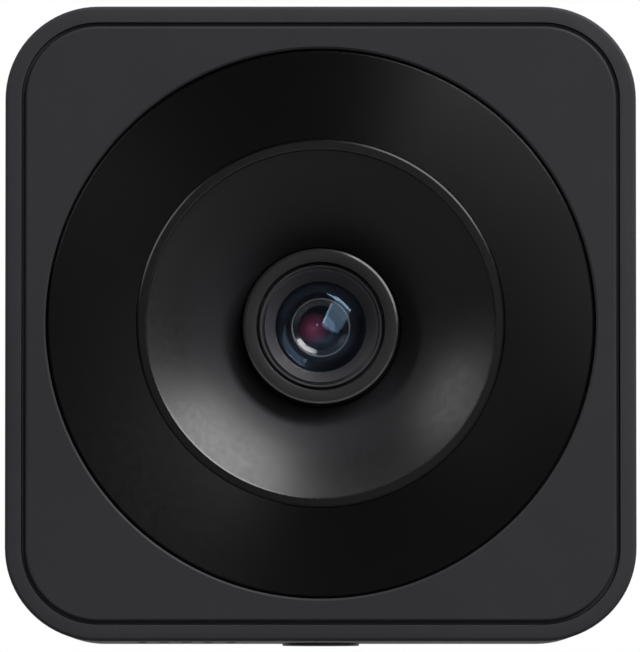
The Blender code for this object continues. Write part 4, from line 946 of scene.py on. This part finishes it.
def make_retainer():
    retainer = softened(
        [
            (CONE_BORE, RETAINER_BACK, 0.0),
            (CONE_BORE, RETAINER_FRONT + CONE_DEPTH, CONE_SOFT),
            (CONE_RADIUS, RETAINER_FRONT, CONE_SOFT),
            (CONE_RADIUS, RETAINER_FRONT + GROOVE_DEPTH, 0.0),
            (GROOVE_RADIUS, RETAINER_FRONT + GROOVE_DEPTH, 0.0),
            (GROOVE_RADIUS, RETAINER_FRONT, GROOVE_SOFT),
            (RETAINER_RADIUS, RETAINER_FRONT, GROOVE_SOFT),
            (RETAINER_RADIUS, RETAINER_BACK, 0.0),
        ]
    )
    lens_piece("retainer_cone", retainer, "retainer", ["lens_retainer"])


def make_front_glass():
    glass_back = MOUTH_FLOOR + GLASS_EDGE
    dome = cap_sphere(DOME_RADIUS, DOME_RISE)
    hollow = cap_sphere(HOLLOW_RADIUS, HOLLOW_DEPTH)
    glass = bulge_arc(dome, MOUTH_FLOOR - DOME_RISE, 0.0, DOME_RADIUS, 24)
    glass += [(GLASS_RADIUS, MOUTH_FLOOR), (GLASS_RADIUS, glass_back)]
    glass += bulge_arc(hollow, glass_back - HOLLOW_DEPTH, HOLLOW_RADIUS, 0.0, 16)
    lens_piece("front_glass", glass, "front_glass", ["front_lens"], GLASS_SHARP)


def make_stop():
    """The stop, and inside it a bright rim and a bevel that catch the light."""
    bore, radius = STOP_RADII
    stop = [(bore, STOP_BACK), (bore, STOP_FRONT), (radius, STOP_FRONT + STOP_FALL), (radius, STOP_BACK)]
    lens_piece("stop_ring", stop, "stop", ["lens_stop"])
    inner, outer, foot = STOP_BEVEL_RADII
    low, high = STOP_BEVEL_DEPTHS
    bevel = [(inner, STOP_BACK), (inner, STOP_FRONT + low), (outer, STOP_FRONT + high), (foot, STOP_BACK)]
    lens_piece("stop_bevel", bevel, "bevel")
    inner, outer = STOP_RIM_RADII
    rim = softened(
        [
            (inner, STOP_BACK, 0.0),
            (inner, STOP_FRONT - STOP_RIM_RISE, STOP_RIM_SOFT),
            (outer, STOP_FRONT - STOP_RIM_RISE, STOP_RIM_SOFT),
            (outer, STOP_BACK, 0.0),
        ]
    )
    lens_piece("stop_rim", rim, "stop_rim")


def make_rear_glass():
    glass = bulge_arc(REAR_BULGE_SPHERE, REAR_GLASS_FRONT, 0.0, REAR_BULGE_RADIUS, 20)
    glass += [
        (REAR_GLASS_RADIUS, glass[-1][1]),
        (REAR_GLASS_RADIUS, REAR_GLASS_BACK),
        (0.0, REAR_GLASS_BACK),
    ]
    lens_piece("rear_glass", glass, "lens_glass", ["rear_lens"], GLASS_SHARP)


# Rear cover, display window and keys


def make_cover():
    shell = case_slab(0.0, COVER_FRONT, COVER_BACK, edges=((COVER_BACK, COVER_EDGE, 8),))
    lip = case_slab(COVER_LIP_INSET, *COVER_LIP)
    inside = COVER_INNER - THROUGH
    outside = COVER_BACK + THROUGH
    window_width = WINDOW_SIZE[0] + 2 * SEAT_GAP
    window_height = WINDOW_SIZE[1] + 2 * SEAT_GAP
    window_corner = WINDOW_CORNER + SEAT_GAP
    key_width = KEY_SIZE[0] + 2 * SEAT_GAP
    key_height = KEY_SIZE[1] + 2 * SEAT_GAP
    cuts = [
        case_slab(COVER_HOLLOW_INSET, COVER_HOLLOW_FRONT, COVER_INNER),
        rounded_slab(window_width, window_height, WINDOW_SEAT, outside, window_corner, z=WINDOW_Z),
        rounded_slab(*DISPLAY_OPENING, inside, COVER_BACK, DISPLAY_CORNER, z=WINDOW_Z),
    ]
    well_radius, well_depth = SCREW_WELL
    for x, z in SCREW_PLACES:
        cuts.append(rod_form(well_radius, (x, COVER_BACK - well_depth, z), (x, outside, z)))
    for x in KEY_PLACES:
        cuts.append(
            rounded_slab(key_width, key_height, inside, outside, KEY_CORNER + SEAT_GAP, x, KEY_Z, 10)
        )
    cuts.append(rod_form(LIGHT_HOLE, (0, inside, LIGHT_Z), (0, outside, LIGHT_Z), 32))
    piece(
        "back_cover",
        shell,
        FINISHES["case_plastic"],
        ["rear_cover"],
        cuts=cuts,
        joins=[lip],
    )


def make_window():
    glass = rounded_slab(
        *WINDOW_SIZE,
        WINDOW_FRONT,
        COVER_BACK,
        WINDOW_CORNER,
        z=WINDOW_Z,
        edges=((COVER_BACK, WINDOW_EDGE, 3),),
    )
    piece("window_glass", glass, FINISHES["window_black"], ["display_window"])


def arc_stroke(x, radii, start, sweep, steps):
    """A flat arc round the middle of a key, from a starting angle through a sweep, in degrees."""
    form = bmesh.new()
    rows = []
    for step in range(steps + 1):
        angle = math.radians(start + sweep * step / steps)
        row = []
        for radius in radii:
            for depth in MARK_DEPTHS:
                place = (x + radius * math.cos(angle), depth, KEY_Z + radius * math.sin(angle))
                row.append(form.verts.new(place))
        rows.append(row)
    for a, b in zip(rows, rows[1:]):
        for first, second in ((0, 1), (1, 3), (3, 2), (2, 0)):
            form.faces.new((a[first], a[second], b[second], b[first]))
    form.faces.new([rows[0][k] for k in (0, 1, 3, 2)])
    form.faces.new([rows[-1][k] for k in (2, 3, 1, 0)])
    bmesh.ops.recalc_face_normals(form, faces=form.faces)
    return form


def arrow_stroke(x, turn):
    """A flat triangle in the middle of a key, pointing up (1) or down (-1)."""
    form = bmesh.new()
    low, high = (
        [form.verts.new((x + a, depth, KEY_Z + turn * b)) for a, b in ARROW_CORNERS]
        for depth in MARK_DEPTHS
    )
    form.faces.new(low)
    form.faces.new(high)
    for k in range(3):
        after = (k + 1) % 3
        form.faces.new((low[k], low[after], high[after], high[k]))
    bmesh.ops.recalc_face_normals(form, faces=form.faces)
    return form


def key_mark(name, x):
    """The strokes of the small printed sign on a key. No lettering."""
    if name == "power_key":
        bar = rounded_slab(
            *POWER_STROKE, *MARK_DEPTHS, POWER_STROKE_CORNER, x, KEY_Z + POWER_STROKE_RISE, 3
        )
        return [bar, arc_stroke(x, POWER_ARC_RADII, *POWER_ARC_TURN, POWER_ARC_STEPS)]
    if name == "menu_key":
        return [
            rounded_slab(*MENU_STROKE, *MARK_DEPTHS, MENU_STROKE_CORNER, x, KEY_Z + row, 3)
            for row in MENU_ROWS
        ]
    return [arrow_stroke(x, 1 if name == "up_key" else -1)]


def make_keys():
    flange_back = KEY_FRONT + KEY_FLANGE_THICKNESS
    edges = ((KEY_BACK, KEY_EDGE, 4),)
    for name, x in zip(KEY_NAMES, KEY_PLACES):
        cap = rounded_slab(*KEY_SIZE, KEY_FRONT, KEY_BACK, KEY_CORNER, x, KEY_Z, 10, edges=edges)
        flange = rounded_slab(*KEY_FLANGE, KEY_FRONT, flange_back, KEY_FLANGE_CORNER, x, KEY_Z, 3)
        piece(
            name + "_cap", cap, FINISHES["key_plastic"], [name], body=name, joins=[flange]
        )
        for index, stroke in enumerate(key_mark(name, x)):
            piece(f"{name}_mark_{index}", stroke, FINISHES["print"], body=name)


# Button and fasteners


def make_button():
    low = local_height("record_button", 0)
    high = local_height("record_button", 1)
    stem_radius, stem_length = BUTTON_STEM
    collar_radius, collar_drop = BUTTON_COLLAR
    button = softened(
        [
            (0.0, high, 0.0),
            (stem_radius, high, 0.0),
            (stem_radius, high - stem_length, 0.0),
            (collar_radius, high - stem_length, 0.0),
            (collar_radius, high - collar_drop, 0.0),
            (BUTTON_CAP_RADIUS, high - collar_drop, 0.0),
            (BUTTON_CAP_RADIUS, low, BUTTON_EDGE),
            (BUTTON_DISH_RADII[0], low, 0.0),
            (BUTTON_DISH_RADII[1], low + BUTTON_DISH_DEPTHS[0], 0.0),
            (0.0, low + BUTTON_DISH_DEPTHS[1], 0.0),
        ]
    )
    piece(
        "button_cap",
        turned_form(button, 96, (0.0, BUTTON_Y), upright=True),
        FINISHES["key_plastic"],
        ["record_button"],
        body="record_button",
    )


def screw_profile(sizes, top, countersunk):
    head, shank, head_height, length = sizes
    under = shank if countersunk else head
    return [
        (0.0, top),
        (head - SCREW_EDGE, top),
        (head, top - SCREW_EDGE),
        (under, top - head_height),
        (shank, top - head_height),
        (shank, top - length),
        (0.0, top - length),
    ]


def make_screws():
    finish = FINISHES["screw_black"]
    head_back = local_depth("case_screw_lower_left", 1)
    long, short, deep = CASE_SCREW_CROSS
    for name, (x, z) in zip(SCREW_NAMES, SCREW_PLACES):
        cross = [box_form((x, head_back, z), size) for size in ((long, deep, short), (short, deep, long))]
        screw = turned_form(screw_profile(CASE_SCREW, head_back, False), 48, (x, z))
        piece("screw_" + name, screw, finish, ["case_screw_" + name], cuts=cross)
    top = local_height("mount_screw_left", 1)
    long, short, deep = PLATE_SCREW_CROSS
    for name, x in (("left", -PLATE_SCREW_X), ("right", PLATE_SCREW_X)):
        cross = [box_form((x, PLATE_Y, top), size) for size in ((long, short, deep), (short, long, deep))]
        screw = turned_form(screw_profile(PLATE_SCREW, top, True), 48, (x, PLATE_Y), upright=True)
        piece("plate_screw_" + name, screw, finish, ["mount_screw_" + name], cuts=cross)


# Stage: white surroundings, soft light and the camera. Distances are in metres

FLOOR_HEIGHT = -0.20
FLOOR_HALF_SIDE = 1.5
FLOOR_TONE = (0.2, 0.2, 0.2, 1.0)
FLOOR_LIFT = 0.8
ROOM_LEVEL = 0.07
SWEEP_START = 0.1
SWEEP_END = 0.5

# Name, tilt, turn, distance, the two sizes, power and roll
LIGHTS = (
    ("key", 66, 54, 1.2, (0.60, 0.90), 16.0, 0),
    ("strip", 36, 39, 0.55, (0.55, 0.275), 0.58, 23),
    ("edge", 26, 66, 1.0, (0.60, 0.05), 0.3, 0),
    ("fill", 74, 148, 1.0, (0.50, 0.50), 2.6, 0),
    ("back", 140, 60, 1.2, (0.80, 0.80), 10.0, 0),
    ("catch", 7.8, 132, 0.85, (0.04, 0.04), 0.025, 0),
)

IMAGE_SIZE = (640, 652)
SENSOR_WIDTH = 36.0
CAMERA_DISTANCE = 0.9
CAMERA_ELEVATION = -2.5
FACE_PIXEL = (320.7, 323.2)
PIXELS_PER_MM = 10.185


def math_node(tree, operation, first, second):
    """Joins two outputs, or an output and a number, by a sum or the like."""
    made = tree.nodes.new("ShaderNodeMath")
    made.operation = operation
    for socket, value in zip(made.inputs, (first, second)):
        if isinstance(value, (int, float)):
            socket.default_value = value
        else:
            tree.links.new(value, socket)
    return made.outputs["Value"]


def behind_object(tree, place):
    """Zero in front of the object, rising to one behind it.

    place is a point on the floor or a direction into the sky.
    """
    split = tree.nodes.new("ShaderNodeSeparateXYZ")
    tree.links.new(place, split.inputs["Vector"])
    rise = tree.nodes.new("ShaderNodeMapRange")
    rise.interpolation_type = "SMOOTHSTEP"
    rise.inputs["From Min"].default_value = SWEEP_START
    rise.inputs["From Max"].default_value = SWEEP_END
    tree.links.new(split.outputs["Y"], rise.inputs["Value"])
    return rise.outputs["Result"]


def lifted_rays(tree, place):
    """One for what the camera sees, and for what mirrors and glass show behind the object."""
    path = tree.nodes.new("ShaderNodeLightPath")
    mirrored = math_node(tree, "ADD", path.outputs["Is Glossy Ray"], path.outputs["Is Transmission Ray"])
    behind = math_node(tree, "MULTIPLY", mirrored, behind_object(tree, place))
    return math_node(tree, "ADD", path.outputs["Is Camera Ray"], behind)


def floor_material():
    """Pale and matt, lifted to near white, still shaded by the object, and clear from below."""
    material = bpy.data.materials.new("floor_white")
    material.use_nodes = True
    tree = material.node_tree
    tree.nodes.clear()
    output = tree.nodes.new("ShaderNodeOutputMaterial")
    both = tree.nodes.new("ShaderNodeAddShader")
    matt = tree.nodes.new("ShaderNodeBsdfDiffuse")
    lift = tree.nodes.new("ShaderNodeEmission")
    matt.inputs["Color"].default_value = FLOOR_TONE
    place = tree.nodes.new("ShaderNodeTexCoord").outputs["Object"]
    strength = math_node(tree, "MULTIPLY", lifted_rays(tree, place), FLOOR_LIFT)
    tree.links.new(strength, lift.inputs["Strength"])
    tree.links.new(matt.outputs["BSDF"], both.inputs[0])
    tree.links.new(lift.outputs["Emission"], both.inputs[1])
    sides = tree.nodes.new("ShaderNodeMixShader")
    clear = tree.nodes.new("ShaderNodeBsdfTransparent")
    geometry = tree.nodes.new("ShaderNodeNewGeometry")
    tree.links.new(geometry.outputs["Backfacing"], sides.inputs["Fac"])
    tree.links.new(both.outputs["Shader"], sides.inputs[1])
    tree.links.new(clear.outputs["BSDF"], sides.inputs[2])
    tree.links.new(sides.outputs["Shader"], output.inputs["Surface"])
    return material


def make_floor():
    form = bmesh.new()
    bmesh.ops.create_grid(form, x_segments=1, y_segments=1, size=FLOOR_HALF_SIDE)
    mesh = bpy.data.meshes.new("floor")
    form.to_mesh(mesh)
    form.free()
    floor = bpy.data.objects.new("floor", mesh)
    floor.location = (0, 0, FLOOR_HEIGHT)
    floor.data.materials.append(floor_material())
    bpy.context.scene.collection.objects.link(floor)


def make_world():
    """White to the camera all round, with a white sweep behind the object and a dim room in front."""
    world = bpy.data.worlds.new("surroundings")
    bpy.context.scene.world = world
    world.use_nodes = True
    tree = world.node_tree
    background = tree.nodes["Background"]
    direction = tree.nodes.new("ShaderNodeTexCoord").outputs["Generated"]
    level = tree.nodes.new("ShaderNodeMapRange")
    level.inputs["To Min"].default_value = ROOM_LEVEL
    level.inputs["To Max"].default_value = 1.0
    tree.links.new(lifted_rays(tree, direction), level.inputs["Value"])
    tree.links.new(level.outputs["Result"], background.inputs["Strength"])
    background.inputs["Color"].default_value = (1, 1, 1, 1)


def area_light(name, tilt, turn, distance, size, power, roll):
    """A soft box aimed at the front: tilted off the lens axis and turned about it, from right to top.

    The first of its two sizes runs along the tilt, unless the box is rolled.
    """
    tilt = math.radians(tilt)
    turn = math.radians(turn)
    spoke = Vector((math.cos(turn), 0.0, math.sin(turn)))
    out = Vector((0.0, -1.0, 0.0))
    away = spoke * math.sin(tilt) + out * math.cos(tilt)
    along = spoke * math.cos(tilt) - out * math.sin(tilt)
    data = bpy.data.lights.new(name, "AREA")
    data.shape = "RECTANGLE"
    data.size, data.size_y = size
    data.energy = power
    light = bpy.data.objects.new(name, data)
    light.location = PLACE + away * distance
    facing = Matrix((along, away.cross(along), away)).transposed()
    light.rotation_euler = (facing @ Matrix.Rotation(math.radians(roll), 3, "Z")).to_euler()
    bpy.context.scene.collection.objects.link(light)


def make_camera():
    """The camera of the photo: the lens axis meets the front rim at FACE_PIXEL."""
    pixel = MM / PIXELS_PER_MM
    data = bpy.data.cameras.new("camera")
    data.sensor_fit = "HORIZONTAL"
    data.sensor_width = SENSOR_WIDTH
    data.lens = SENSOR_WIDTH * CAMERA_DISTANCE / (IMAGE_SIZE[0] * pixel)
    data.clip_start = 0.01
    camera = bpy.data.objects.new("camera", data)
    tilt = math.radians(CAMERA_ELEVATION)
    direction = Vector((0.0, -math.cos(tilt), math.sin(tilt)))
    right = (IMAGE_SIZE[0] / 2 - FACE_PIXEL[0]) * pixel
    up = (FACE_PIXEL[1] - IMAGE_SIZE[1] / 2) * pixel
    camera.location = PLACE + Vector((right, 0, up)) + direction * CAMERA_DISTANCE
    camera.rotation_euler = (-direction).to_track_quat("-Z", "Y").to_euler()
    bpy.context.scene.collection.objects.link(camera)
    bpy.context.scene.camera = camera


dress_nodes()
make_case()
make_screens()
make_panel()
make_ring()
make_bowl()
make_barrel()
make_retainer()
make_front_glass()
make_stop()
make_rear_glass()
make_cover()
make_window()
make_keys()
make_button()
make_screws()

make_floor()
make_world()
for light in LIGHTS:
    area_light(*light)
make_camera()
bpy.context.scene.view_settings.view_transform = "Standard"
